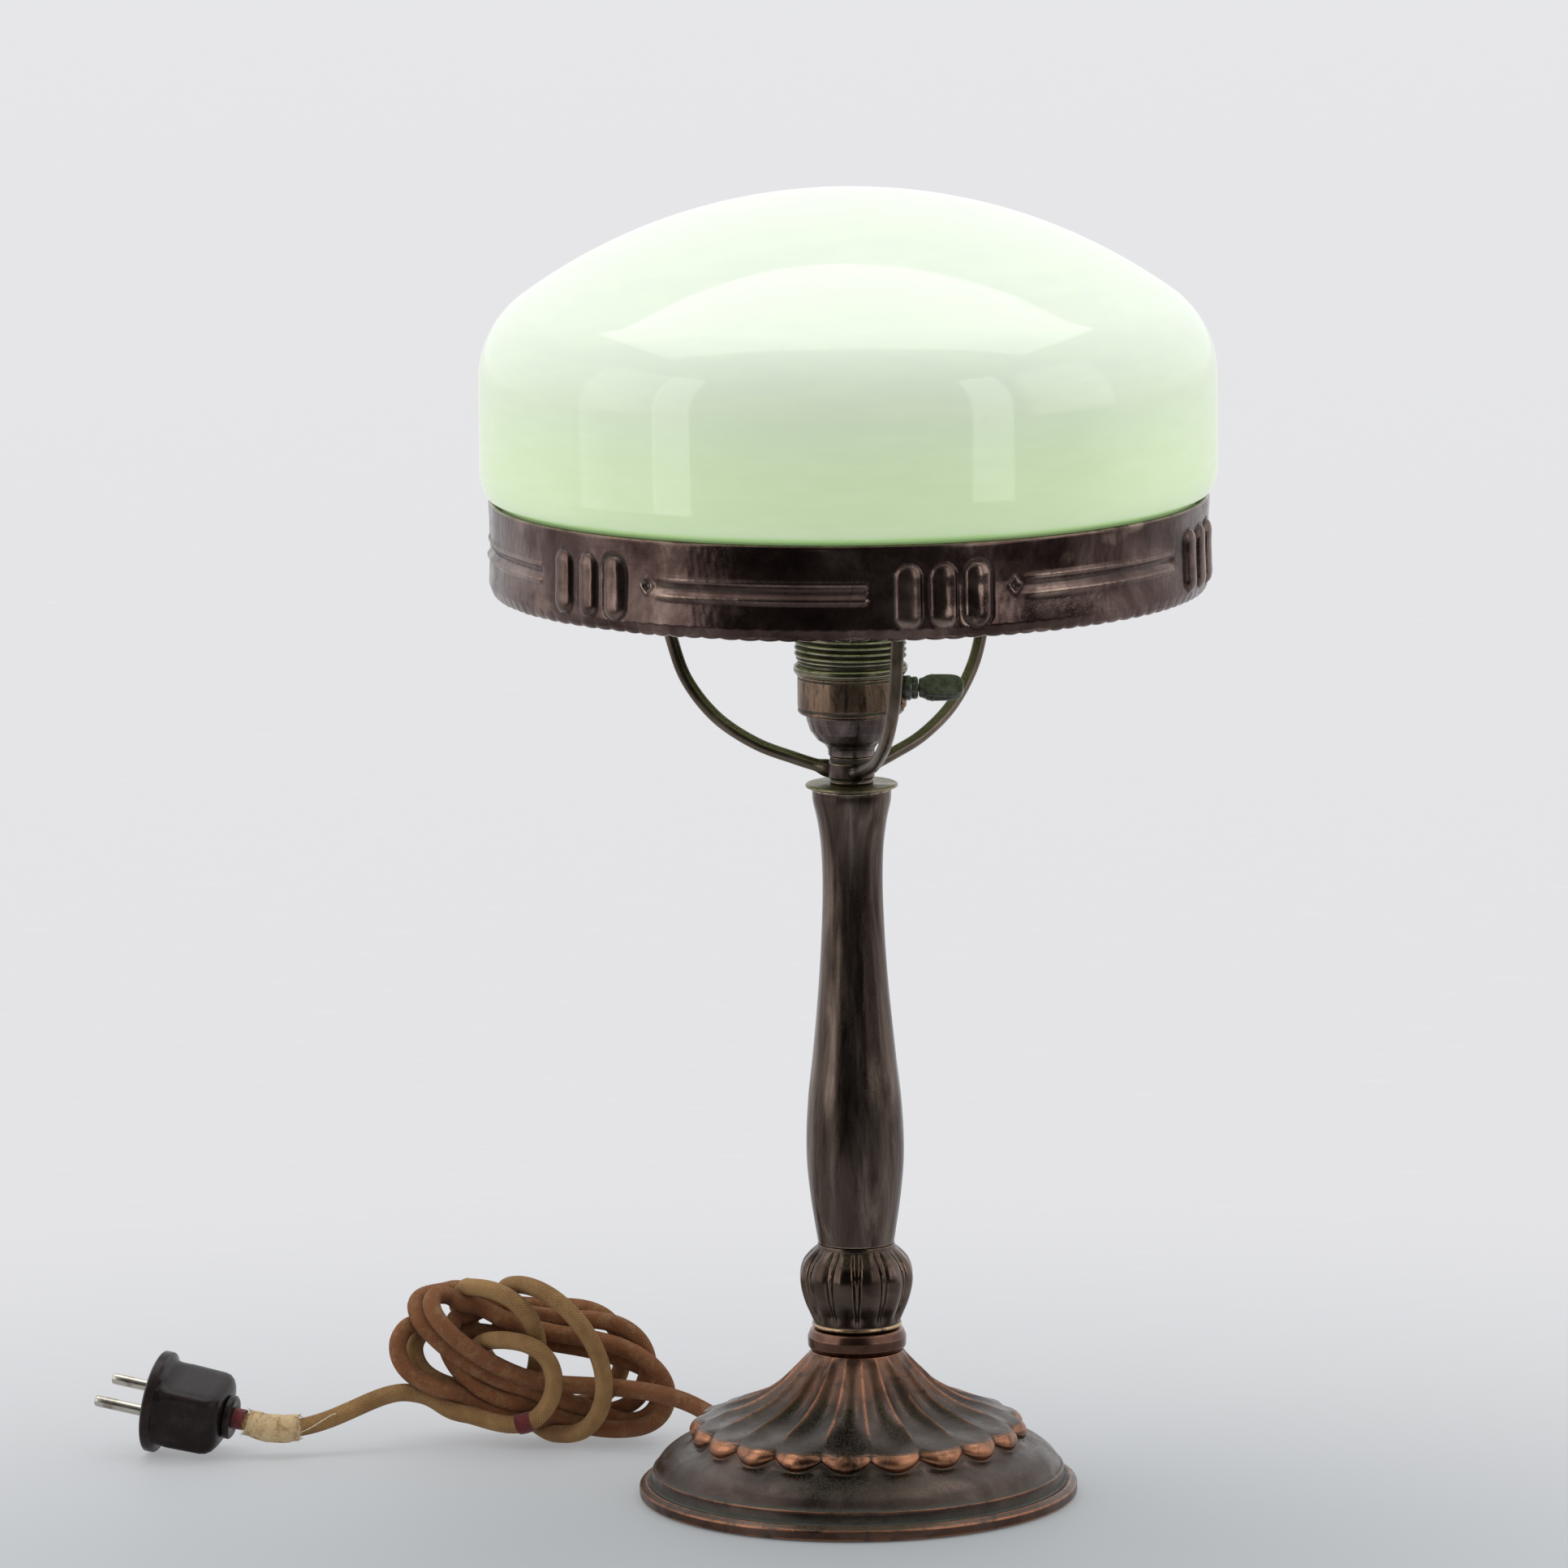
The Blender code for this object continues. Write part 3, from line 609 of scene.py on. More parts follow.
class CordRoute:
    """Where the cord runs, in millimetres, in the order it was wound.

    These lists aren't hand-placed: places were picked by eye, with each depth Y guessed, and
    a helper script worked out X and Z from them.
    """
    lead = [(-51.0, 60.2, 13.9), (-56.0, 64.7, 16.4), (-62.1, 68.4, 18.6)]
    first_turn = [
        (-72.3, 71, 20.2), (-84.7, 76.5, 20.9), (-97.1, 78, 21.3), (-108.8, 78.5, 21.6),
        (-116, 78, 23.7), (-123.2, 77, 27.0), (-132.6, 74, 33.0), (-141.0, 71.5, 39.8),
        (-147.8, 71, 47.0), (-151.4, 76, 52.8), (-151.0, 84.5, 55.6), (-144.7, 91.5, 54.4),
        (-133.6, 92, 49.2), (-123.3, 89.5, 43.9), (-114.5, 88, 39.7), (-105.1, 87.5, 37.7),
        (-97, 86.5, 36.9), (-88.3, 84, 35.9), (-79.5, 82, 33.2), (-70.8, 80, 28),
        (-65.8, 79, 21.8), (-65, 79, 14.3), (-68.9, 80, 7.1), (-77.7, 82, 3.9), (-87.2, 84, 5.1)]
    second_turn = [
        (-98.2, 86, 7.1), (-109.1, 87, 9.1), (-123.7, 86, 10.9), (-134.5, 84, 12.9),
        (-143.4, 81.5, 16.6), (-152.5, 78, 21.4), (-160.0, 76.5, 28), (-163.8, 78, 35.8),
        (-161.0, 83, 42.2), (-151.8, 88.5, 44.0), (-140.9, 92, 39.9), (-129.4, 94.5, 37),
        (-117.7, 95, 34.9), (-105.3, 95, 32.5), (-94.3, 94, 31), (-82.4, 92, 27.7),
        (-72.2, 91.0, 23.4), (-66.0, 91, 15.8), (-68.4, 89, 7.6), (-78.5, 87, 4.4)]
    third_turn = [
        (-91.0, 85, 7.6), (-102.1, 84, 13.2), (-111.1, 83, 17.3), (-122, 82, 20.9),
        (-132.8, 80.5, 26.6), (-141.8, 79.5, 32.6), (-149.2, 78, 39.6), (-155.2, 79, 45.6),
        (-157.6, 85.5, 50.2), (-153.0, 93.5, 52.0), (-140.9, 97.5, 50.4), (-127.3, 96.5, 47.0),
        (-117.5, 94.5, 44), (-108.8, 93, 42.7), (-99.2, 91.5, 42.1), (-91.2, 90, 42.6),
        (-81, 88.5, 40.6), (-74.5, 88, 34.8), (-72.2, 88.5, 28.7), (-72.5, 92, 20.4),
        (-75.9, 94, 12.5), (-83.6, 93, 8), (-94.6, 91, 7.4)]
    fourth_turn = [
        (-105.5, 89.5, 9), (-116.4, 86, 10.5), (-126.5, 84, 14), (-135.9, 83, 20.3),
        (-142, 83.5, 27.6), (-145.6, 85, 34.8), (-146.7, 88.5, 40.7), (-144.6, 94, 45.1),
        (-138.1, 98.5, 46.3), (-126.4, 100.5, 45.7), (-116.2, 100, 45), (-105.2, 98.5, 45.2),
        (-95.6, 97, 45.6), (-87.6, 96.5, 42.8), (-82.6, 97.5, 35.8), (-81.3, 98.5, 26.6),
        (-83.6, 99, 17.5), (-90.3, 98, 11), (-102, 96.5, 9.3), (-115.1, 94, 11.5)]
    inner_turn = [
        (-126.7, 91.5, 14.6), (-136.8, 88, 17.4), (-146.6, 84.0, 20.6), (-154.8, 81.5, 26.0),
        (-158.4, 85, 33.8), (-154.4, 92.5, 39.6), (-144.9, 98.5, 38.6), (-134.7, 100.5, 31.8),
        (-126.9, 102, 29.6)]
    outer_wrap = [
        (-123.8, 103, 33.3), (-125.1, 102, 42.6), (-125.6, 97, 50.6), (-122.3, 86, 56.1),
        (-115.5, 75, 58.4), (-108.1, 71, 56.4), (-100.9, 70, 50.6), (-94.5, 70, 42.7),
        (-89.9, 70, 33.8), (-87.8, 70, 24.8), (-88.3, 70, 16.6), (-91.3, 70.5, 9.1),
        (-97.3, 73, 3.9), (-103.2, 78, 3.2), (-109.1, 84, 3.6), (-115.1, 92, 5.9),
        (-121.1, 99, 10.4)]
    middle_wrap = [
        (-126.9, 102, 17.8), (-131.9, 103, 27.9), (-136.2, 103, 38.7), (-139.1, 98, 48.3),
        (-137.7, 88, 54.2), (-131.5, 77, 57.1), (-124.1, 71.5, 56.5), (-117.6, 71, 52.4),
        (-113.4, 72, 46.2), (-111.5, 76, 39), (-112, 84, 30.9), (-113.1, 92, 22.4),
        (-115.5, 98, 15.1), (-120.4, 101, 10.7)]
    front_loop = [
        (-126.9, 100, 14), (-132.6, 98, 21.3), (-135.3, 93, 29.2), (-133.1, 84, 35.6),
        (-128.1, 76, 38.6), (-122.2, 71, 39.3), (-115.6, 69.5, 39.2), (-109.5, 69, 36.4),
        (-105.7, 69, 31.2), (-104.8, 69, 24.5), (-106.5, 69, 17.1), (-111, 70, 10.9),
        (-116.1, 71.5, 7.5), (-126.4, 74, 8.3), (-133.7, 77.5, 10.6), (-138.1, 80.5, 12.7),
        (-143.3, 83, 15.6), (-149.5, 82, 18.6)]
    tail = [(-154.6, 79.5, 19.8), (-160.2, 76, 20.6), (-169, 73.2, 18.2), (-178.4, 70.5, 14.6),
            (-187, 68, 11.6), (-196.2, 66, 9.7)]
    taped = [(-203, 64.8, 9.8), (-208.5, 64.7, 10.6), (-213.2, 65.4, 12.0), (-217.4, 66.2, 13.1)]


class LAMP_OT_cord(bpy.types.Operator):
    """Wind the braided cord, from the foot through the hank to the plug"""
    bl_idname = "lamp.cord"
    bl_label = "Cord"

    EXIT_AZIMUTH = math.radians(130)
    EXIT_HEIGHT = 13.5
    EXIT_RADIUS = 71.3
    SPLICE = (-116.0, 7.5)
    LENGTH = 1.45
    # rounds of settling, how many of them hold the route firmly, and how hard they hold it
    ROUNDS, FIRM_ROUNDS, FIRM, LOOSE = 200, 60, 1.0, 0.25
    BACK_OF_HANK = 0.1035

    def execute(self, context):
        look = context.scene.lamp_cord
        start = [tuple(cord_hole(radius) / MM) for radius in (64.0, self.EXIT_RADIUS)]
        way = CordRoute
        loose = way.lead + way.first_turn + way.second_turn + way.third_turn + way.fourth_turn
        wraps = way.inner_turn + way.outer_wrap + way.middle_wrap + way.front_loop
        route = start + loose + wraps + way.tail + way.taped
        line = evened(smooth_line(mm(route), 8), 0.0031)
        line = self.settled(line, look.diameter)
        line = evened(smooth_line(line, 3), 0.0014)
        cord = self.braid(line, look)
        set_piece(cord, self.braid_finish(look), LAMP,
                  ("cord_lead", "cord_hank", "cord_tail"), crease=180)
        extras = [self.splice(line, look), self.tape(look), self.stray_thread()]
        context.scene["cord_line"] = line.ravel().tolist()
        context.scene["cord_extras"] = [item.name for item in extras]
        return {"FINISHED"}

    def settled(self, line, diameter):
        """Push strands that press into each other apart, above the table, and keep bends easy."""
        for _ in range(2):
            line[1:-1] = 0.5 * line[1:-1] + 0.25 * (line[:-2] + line[2:])
        home = line.copy()
        count = len(line)
        order = np.arange(count)
        apart = np.abs(order[:, None] - order[None]) > 5
        ends = eased(order, 4, 12) * eased(count - 1 - order, 16, 26)
        for turn in range(self.ROUNDS):
            hold = self.FIRM if turn < self.FIRM_ROUNDS else self.LOOSE
            gaps = line[:, None] - line[None]
            far = np.sqrt((gaps * gaps).sum(2)) + 1e-9
            push = np.where(apart & (far < diameter), (diameter - far) / far, 0.0)
            move = 0.42 * (push[:, :, None] * gaps).sum(1)
            most = np.linalg.norm(move, axis=1)
            move *= np.minimum(1.0, 0.0012 / np.maximum(most, 1e-9))[:, None]
            move[1:-1] += (0.04 + 0.08 * hold) * (0.5 * (line[:-2] + line[2:]) - line[1:-1])
            back, on = line[:-6] - line[3:-3], line[6:] - line[3:-3]
            folded = np.zeros((count, 1))
            folded[3:-3, 0] = eased((back * on).sum(1) / (np.linalg.norm(back, axis=1)
                                    * np.linalg.norm(on, axis=1)), -0.80, -0.30)
            move[3:-3] += 0.08 * folded[3:-3] * (back + on)
            move += (home - line) * (1 - 0.5 * folded) * (0.050, 0.012, 0.050) * hold
            line = line + move * ends[:, None]
            line[:, 2] = np.maximum(line[:, 2], np.minimum(home[:, 2], diameter / 2 + 0.0001))
            line[:, 1] = np.minimum(line[:, 1], self.BACK_OF_HANK)
        return line

    def braid(self, line, look):
        """The tube, with a map that runs along it and round it for the braid."""
        sides = 18
        rings = tube_points(line, look.diameter / 2, sides)
        count = len(rings)
        mesh = bpy.data.meshes.new("braided_cord")
        faces = quads(count, sides, False, True)
        mesh.from_pydata(rings.reshape(-1, 3).tolist(), [], faces)
        along = np.concatenate([[0], np.cumsum(np.linalg.norm(np.diff(line, axis=0), axis=1))])
        run = mesh.uv_layers.new(name="cord_run")
        corners = []
        for i in range(count - 1):
            here, there = along[i] / look.diameter, along[i + 1] / look.diameter
            for j in range(sides):
                left, right = j / sides, (j + 1) / sides
                corners += [here, left, there, left, there, right, here, right]
        run.data.foreach_set("uv", corners)
        aged = mesh.attributes.new("plug_end", "FLOAT", "POINT")
        share = eased(along / along[-1], 0.54, 0.64)
        aged.data.foreach_set("value", np.repeat(share, sides).astype(np.float32))
        cord = new_object("braided_cord", mesh)
        welded(mesh, 1e-7)
        return cord

    def braid_finish(self, look):
        paint = Finish("braided cotton", tuple(look.near_colour), 0.86, Sheen_Weight=0.06,
                       Sheen_Roughness=0.5, Specular_IOR_Level=0.15)
        parts = paint.node("ShaderNodeSeparateXYZ")
        paint.feed(parts.inputs[0], paint.node("ShaderNodeUVMap", uv_map="cord_run").outputs[0])
        along = paint.sum("MULTIPLY", parts.outputs["X"], 4.2 * FULL_TURN)
        around = paint.sum("MULTIPLY", parts.outputs["Y"], 12 * FULL_TURN)
        one = paint.sum("SINE", paint.sum("ADD", along, around))
        two = paint.sum("SINE", paint.sum("SUBTRACT", along, around))
        weave = paint.sum("ABSOLUTE", paint.sum("MULTIPLY", one, two))
        tone = paint.mix(paint.stored("plug_end"), tuple(look.near_colour), tuple(look.plug_colour))
        worn = paint.between(paint.noise(75, 6, 0.7), 0.40, 0.66)
        tone = paint.mix(paint.sum("MULTIPLY", worn, 0.38), tone, (0.16, 0.060, 0.026))
        pale = paint.between(paint.noise(210, 5, 0.75), 0.46, 0.72, 0.0, 0.62)
        tone = paint.mix(pale, tone, (0.56, 0.36, 0.17))
        # Painted shade: dark lines along the gaps between the braid's strands.
        tone = paint.mix(paint.between(weave, 0.02, 0.42, 0.86, 0.0), tone, (0.085, 0.036, 0.016))
        paint.drive("Base Color", tone)
        wires = paint.sum("SINE", paint.sum("MULTIPLY", parts.outputs["Y"], 3 * FULL_TURN))
        paint.bump(wires, 0.0006, 0.7)
        paint.bump(weave, 0.0003, 1.0)
        paint.bump(paint.noise(2600, 3, 0.7), 0.00008, 0.6)
        return paint.material

    def splice(self, line, look):
        """A few turns of red thread where the two lengths of cord were joined."""
        front = line[:, 1] < 0.0755
        near = np.hypot(line[:, 0] - self.SPLICE[0] * MM, line[:, 2] - self.SPLICE[1] * MM)
        middle = int(np.argmin(np.where(front, near, 1.0)))
        return thread_wrap("splice_whipping", line[middle - 2:middle + 3],
                           look.diameter / 2 + 0.00012, 9)

    def tape(self, look):
        """Cloth tape wound round the cord by the plug, with its edges frayed."""
        way = CordRoute
        line = evened(smooth_line(mm([(-195.6, 66.1, 9.8)] + way.taped[:3]), 10), 0.0005)
        sides = 40
        t = np.linspace(0, 1, len(line))
        radius = (4.35 + 0.55 * np.sin(math.pi * t) ** 0.6) * MM
        rings = tube_points(line, radius, sides)
        angle = np.linspace(0, FULL_TURN, sides, endpoint=False)[None]
        wound = (t[:, None] * 2.6 + angle / FULL_TURN) % 1.0
        lift = 0.28 * MM * eased(wound, 0.0, 0.10) * (1 - wound)
        lift = lift + 0.16 * MM * ripple(angle * 5, t[:, None] * 22, angle * 0, 3)
        centre = line[:, None]
        out = rings - centre
        rings = centre + out * (1 + lift / np.linalg.norm(out, axis=2))[:, :, None]
        inner = centre + out * (look.diameter / 2 / np.linalg.norm(out, axis=2))[:, :, None]
        fray = (0.45 + 0.45 * ripple(angle * 7, angle * 3, angle * 0, 5)) * MM
        ahead = line[-1] - line[-2]
        ahead /= np.linalg.norm(ahead)
        rings[0] += fray[0][:, None] * ahead
        rings[-1] += fray[0][:, None] * ahead
        skin = np.concatenate([inner[:1], rings, inner[-1:]])
        item = grid_object("cloth_tape", skin, close_rows=False, close_columns=True)
        self.fray_threads(item, rings)
        return set_piece(item, self.tape_finish(look), LAMP, ("cord_tape",), 60)

    def fray_threads(self, item, rings):
        """Loose ends of thread along both edges of the tape, joined into the same mesh."""
        draws = np.random.default_rng(11)
        shape = bmesh.new()
        shape.from_mesh(item.data)
        for ring, inner in ((rings[0], rings[2]), (rings[-1], rings[-3])):
            middle = ring.mean(axis=0)
            for j in range(len(ring)):
                ahead = ring[j] - inner[j]
                ahead /= np.linalg.norm(ahead)
                out = ring[j] - middle
                out /= np.linalg.norm(out)
                long = draws.uniform(0.5, 1.7) * MM
                bend = ahead * long + out * draws.uniform(-0.2, 0.6) * long
                points = [ring[j] - ahead * 0.4 * MM, ring[j] + bend * 0.5,
                          ring[j] + bend + draws.normal(size=3) * 0.22 * MM]
                tube_rings = tube_points(smooth_line(points, 2), 0.07 * MM, 4)
                join_tube(shape, tube_rings)
        bmesh.ops.recalc_face_normals(shape, faces=shape.faces)
        shape.to_mesh(item.data)
        shape.free()

    def tape_finish(self, look):
        paint = Finish("cloth tape", tuple(look.tape_colour), 0.92, Sheen_Weight=0.2,
                       Specular_IOR_Level=0.2)
        stain = paint.between(paint.noise(230, 6, 0.7), 0.42, 0.70)
        tone = paint.mix(stain, tuple(look.tape_colour), (0.33, 0.20, 0.085))
        tone = paint.mix(paint.between(paint.noise(900, 4, 0.7), 0.5, 0.7, 0, 0.5), tone,
                         (0.78, 0.64, 0.42))
        tone = paint.mix(paint.sum("MULTIPLY", paint.stored("hollow"), 0.7), tone,
                         (0.16, 0.085, 0.035))
        paint.drive("Base Color", tone)
        weave = paint.node("ShaderNodeTexWave", wave_type="BANDS", bands_direction="DIAGONAL")
        weave.inputs["Scale"].default_value = 900
        weave.inputs["Distortion"].default_value = 3.0
        paint.feed(weave.inputs["Vector"], paint.place)
        paint.bump(weave.outputs["Fac"], 0.00008, 0.6)
        paint.bump(paint.noise(1800, 4, 0.7), 0.00012, 0.7)
        return paint.material

    def stray_thread(self):
        """One pale loose thread that lies along the cord beyond the tape."""
        points = mm([(-196.0, 62.4, 8.6), (-192.0, 62.0, 10.4), (-187.6, 63.2, 12.8),
                     (-184.4, 64.6, 14.5), (-182.6, 65.6, 14.9)])
        item = tube("stray_thread", smooth_line(points, 6), 0.16 * MM, 6)
        pale = plain_finish("pale thread", (0.74, 0.66, 0.52), (0.60, 0.50, 0.36), 0.85, 900)
        return set_piece(item, pale, LAMP, (), 180)


def cord_hole(radius):
    """A point on the middle line of the hole that the cord leaves by, radius from the axis."""
    azimuth = LAMP_OT_cord.EXIT_AZIMUTH
    return Vector((radius * math.cos(azimuth), radius * math.sin(azimuth),
                   LAMP_OT_cord.EXIT_HEIGHT)) * MM


def thread_wrap(name, core, radius, turns):
    """Red thread wound side by side round a short length of line."""
    core = np.array(core, float)
    steps = 20
    total = turns * steps
    t = np.linspace(0, 1, total + 1)
    at = t * (len(core) - 1)
    index = np.minimum(at.astype(int), len(core) - 2)
    centre = core[index] + (core[index + 1] - core[index]) * (at - index)[:, None]
    ahead = core[-1] - core[0]
    length = np.linalg.norm(ahead)
    ahead = ahead / length
    aside = np.cross(ahead, (0.3, 0.2, 1.0))
    aside /= np.linalg.norm(aside)
    other = np.cross(ahead, aside)
    angle = t * turns * FULL_TURN
    thick = length / turns * 0.54
    line = centre + (radius + 0.3 * thick) * (np.cos(angle)[:, None] * aside
                                              + np.sin(angle)[:, None] * other)
    item = tube(name, line, thick, 6, ahead)
    red = bpy.data.materials.get("red thread") or plain_finish(
        "red thread", (0.20, 0.008, 0.010), (0.07, 0.004, 0.006), 0.75, 700, 0.00008,
        Sheen_Weight=0.3)
    return set_piece(item, red, LAMP, (), 180)


# Plug

class LampPlugProps(bpy.types.PropertyGroup):
    body_colour: FloatVectorProperty(
        name="Body", description="Colour of the moulded plug", subtype="COLOR",
        default=(0.013, 0.008, 0.008), min=0.0, max=1.0)
    dust_colour: FloatVectorProperty(
        name="Dust", description="Dust in the plug's hollow", subtype="COLOR",
        default=(0.036, 0.033, 0.030), min=0.0, max=1.0)
    pin_length: FloatProperty(
        name="Pin length", description="How far the pins stand out", default=0.019,
        min=0.01, max=0.025, unit="LENGTH")


class LAMP_OT_plug(bpy.types.Operator):
    """Mould the round two-pin plug on the cord's far end"""
    bl_idname = "lamp.plug"
    bl_label = "Plug"

    PLACE = (-0.2465, 0.0735, 0.0185)
    TURN = (math.radians(-12), math.radians(-9.8), math.radians(165.9))
    # distance behind the face, half width, half height and squareness of each section
    SECTIONS = (
        (0.3, 16.9, 16.9, 2.0), (0.0, 17.5, 17.5, 2.0), (-0.5, 18.0, 18.0, 2.0),
        (-2.9, 18.0, 18.0, 2.0), (-3.3, 17.8, 17.8, 2.0), (-3.6, 17.0, 16.0, 2.15),
        (-4.4, 15.8, 13.6, 2.9), (-5.6, 15.0, 12.3, 4.2), (-7.4, 14.5, 11.6, 6.0),
        (-9.4, 14.3, 11.4, 7.5), (-21.4, 14.1, 11.1, 7.5), (-23.4, 13.8, 10.9, 6.5),
        (-24.9, 13.0, 10.3, 5.2), (-25.9, 11.6, 9.3, 4.2), (-26.4, 9.6, 8.2, 3.4),
        (-26.5, 7.0, 6.6, 2.6))
    PIN_AT = (9.5, -9.5)

    def execute(self, context):
        look = context.scene.lamp_plug
        rest = Matrix.LocRotScale(Vector(self.PLACE), turned_in_order(self.TURN), None)
        along = rest @ Matrix.Rotation(math.radians(90), 4, "Y")
        bakelite = self.bakelite(look)
        nickel = plain_metal("nickel plate", (0.56, 0.52, 0.46), 0.16, (0.16, 0.12, 0.08))
        brass = shared_brass()
        made = [self.body(rest, bakelite), self.insert(rest, bakelite)]
        for name, y in zip(("plug_pin_near", "plug_pin_far"), self.PIN_AT):
            place = along @ Matrix.Translation((0.0, y * MM, 0.0))
            end = look.pin_length / MM
            outline = rounded([(0.0, end, 0), (1.95, end, 1.0), (2.0, end - 3, 0),
                               (2.0, -9.0, 0.2), (0.0, -9.0, 0)])
            pin = turned(name.replace("plug", "turned"), outline, 40, place=place)
            made.append(set_piece(pin, nickel, LAMP, (name,)))
        screw = turned("face_screw", rounded([(0, 1.5, 0), (2.0, 1.45, 0.5), (2.6, 0.9, 0.3),
                                              (2.6, 0.3, 0.1), (0, 0.3, 0)]), 40, place=along)
        made.append(set_piece(slotted(screw, along, 1.5, 5.6), brass, LAMP,
                              ("plug_screw",)))
        collar = turned("gland_ring", rounded([
            (3.3, -26.5, 0.1), (6.9, -26.5, 0.4), (7.8, -27.1, 0.5), (7.8, -28.8, 0.5),
            (6.9, -29.4, 0.4), (4.6, -29.4, 0.5), (3.3, -28.6, 0.2)], closed=True),
            56, True, place=along)
        made.append(set_piece(collar, bakelite, LAMP, ("plug_collar",)))
        core = [tuple(along @ Vector((0, 0, z * MM))) for z in (-28.9, -30.4, -31.8, -33.2)]
        wrap = thread_wrap("red_whipping", core, 3.4 * MM, 8)
        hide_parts("cord_whipping")
        made.append(wrap)
        self.declare_cord(context, made)
        return {"FINISHED"}

    def body(self, rest, finish):
        rings = np.array([squared_ring(*section, 96) for section in self.SECTIONS]) * MM
        item = grid_object("moulded_plug", capped(rings), False, True, rest)
        carve(item, pocket_block(rest, (-9.0, -12.9, -6.2), (2.0, 12.9, 6.2)))
        return set_piece(item, finish, LAMP, ("plug_body",), 32)

    def insert(self, rest, finish):
        shape = bmesh.new()
        bmesh.ops.create_cube(shape, size=1.0)
        bmesh.ops.scale(shape, vec=Vector((5.0, 25.2, 11.8)) * MM, verts=shape.verts)
        bmesh.ops.translate(shape, vec=Vector((-2.5, 0, 0)) * MM, verts=shape.verts)
        bmesh.ops.bevel(shape, geom=shape.edges[:], offset=0.5 * MM, segments=3, affect="EDGES")
        mesh = bpy.data.meshes.new("contact_block")
        shape.to_mesh(mesh)
        shape.free()
        mesh.transform(rest)
        mark_relief(mesh)
        return set_piece(new_object("contact_block", mesh), finish, LAMP,
                         ("plug_insert",))

    def bakelite(self, look):
        colour = tuple(look.body_colour)
        paint = Finish("dark bakelite", colour, 0.3, Specular_IOR_Level=0.17)
        tone = paint.mix(paint.between(paint.noise(90, 5, 0.7), 0.42, 0.66, 0, 0.8), colour,
                         (0.030, 0.020, 0.018))
        settled = paint.sum("MULTIPLY", paint.upward(),
                            paint.between(paint.noise(420, 6, 0.8), 0.42, 0.72, 0.16, 0.40))
        sunk = paint.sum("MULTIPLY", paint.stored("hollow"),
                         paint.between(paint.noise(700, 5, 0.8), 0.35, 0.6, 0.3, 0.9))
        dusty = paint.sum("MULTIPLY", paint.sum("MAXIMUM", sunk, settled), paint.upward())
        tone = paint.mix(dusty, tone, tuple(look.dust_colour))
        tone = paint.mix(paint.sum("MULTIPLY", paint.stored("rubbed"), 0.35), tone,
                         (0.05, 0.036, 0.032))
        paint.drive("Base Color", tone)
        paint.drive("Roughness", paint.sum("ADD", paint.between(
            paint.noise(130, 5, 0.7), 0.3, 0.7, 0.16, 0.27), paint.between(dusty, 0, 1, 0, 0.4)))
        paint.bump(paint.noise(260, 4, 0.6), 0.00003, 0.3)
        paint.bump(paint.between(paint.noise(1400, 2, 0.5), 0.66, 0.74), 0.00006, 0.5)
        return paint.material

    def declare_cord(self, context, made):
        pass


def turned_in_order(angles):
    """A turn about X, then Y, then Z."""
    return Matrix.Rotation(angles[2], 3, "Z") @ Matrix.Rotation(angles[1], 3, "Y") \
        @ Matrix.Rotation(angles[0], 3, "X")


def shared_brass():
    return bpy.data.materials.get("turned brass") or plain_metal(
        "turned brass", (0.50, 0.37, 0.17), 0.30, (0.20, 0.13, 0.06))


def pocket_block(place, low, high):
    """A block between two corners in millimetres, set by a placing matrix, used as a cutter."""
    low, high = Vector(low) * MM, Vector(high) * MM
    mesh = bpy.data.meshes.new("cutter")
    shape = bmesh.new()
    bmesh.ops.create_cube(shape, size=1.0)
    bmesh.ops.scale(shape, vec=high - low, verts=shape.verts)
    bmesh.ops.translate(shape, vec=(low + high) / 2, verts=shape.verts)
    shape.to_mesh(mesh)
    shape.free()
    mesh.transform(place)
    return new_object("cutter", mesh)


def slotted(item, place, top, width, deep=0.7, slot=0.8):
    """Cut a screwdriver slot across a screw whose head ends at top."""
    return carve(item, pocket_block(place, (-width, -slot / 2, top - deep),
                                    (width, slot / 2, top + 1)))


# Foot

class LampFootProps(bpy.types.PropertyGroup):
    petals: IntProperty(name="Petals", description="Flutes round the foot", default=20, min=6,
                        max=40)
    flange_radius: FloatProperty(
        name="Radius", description="Radius of the rolled rim", default=0.0755, unit="LENGTH")
    dark: FloatVectorProperty(
        name="Dark bronze", description="Deepest tone of the foot", subtype="COLOR",
        default=(0.020, 0.013, 0.011), min=0.0, max=1.0)
    copper: FloatVectorProperty(
        name="Rubbed copper", description="Tone of the rubbed edges", subtype="COLOR",
        default=(0.42, 0.19, 0.105), min=0.0, max=1.0)


def turned_columns(columns, angles):
    """Radius and height at each angle, as points; angles run from the front toward the key."""
    r, z = columns[..., 0], columns[..., 1]
    return np.stack([r * np.sin(angles)[:, None], -r * np.cos(angles)[:, None], z], axis=2)


def blended(stops, share, pieces):
    """Outlines for every share from (radius, change, height, change) stops, curved smoothly."""
    stops = np.array(stops, float)
    line = smooth_line(stops, pieces)
    return np.stack([line[:, 0] + line[:, 1] * share[:, None],
                     line[:, 2] + line[:, 3] * share[:, None]], axis=2) * MM


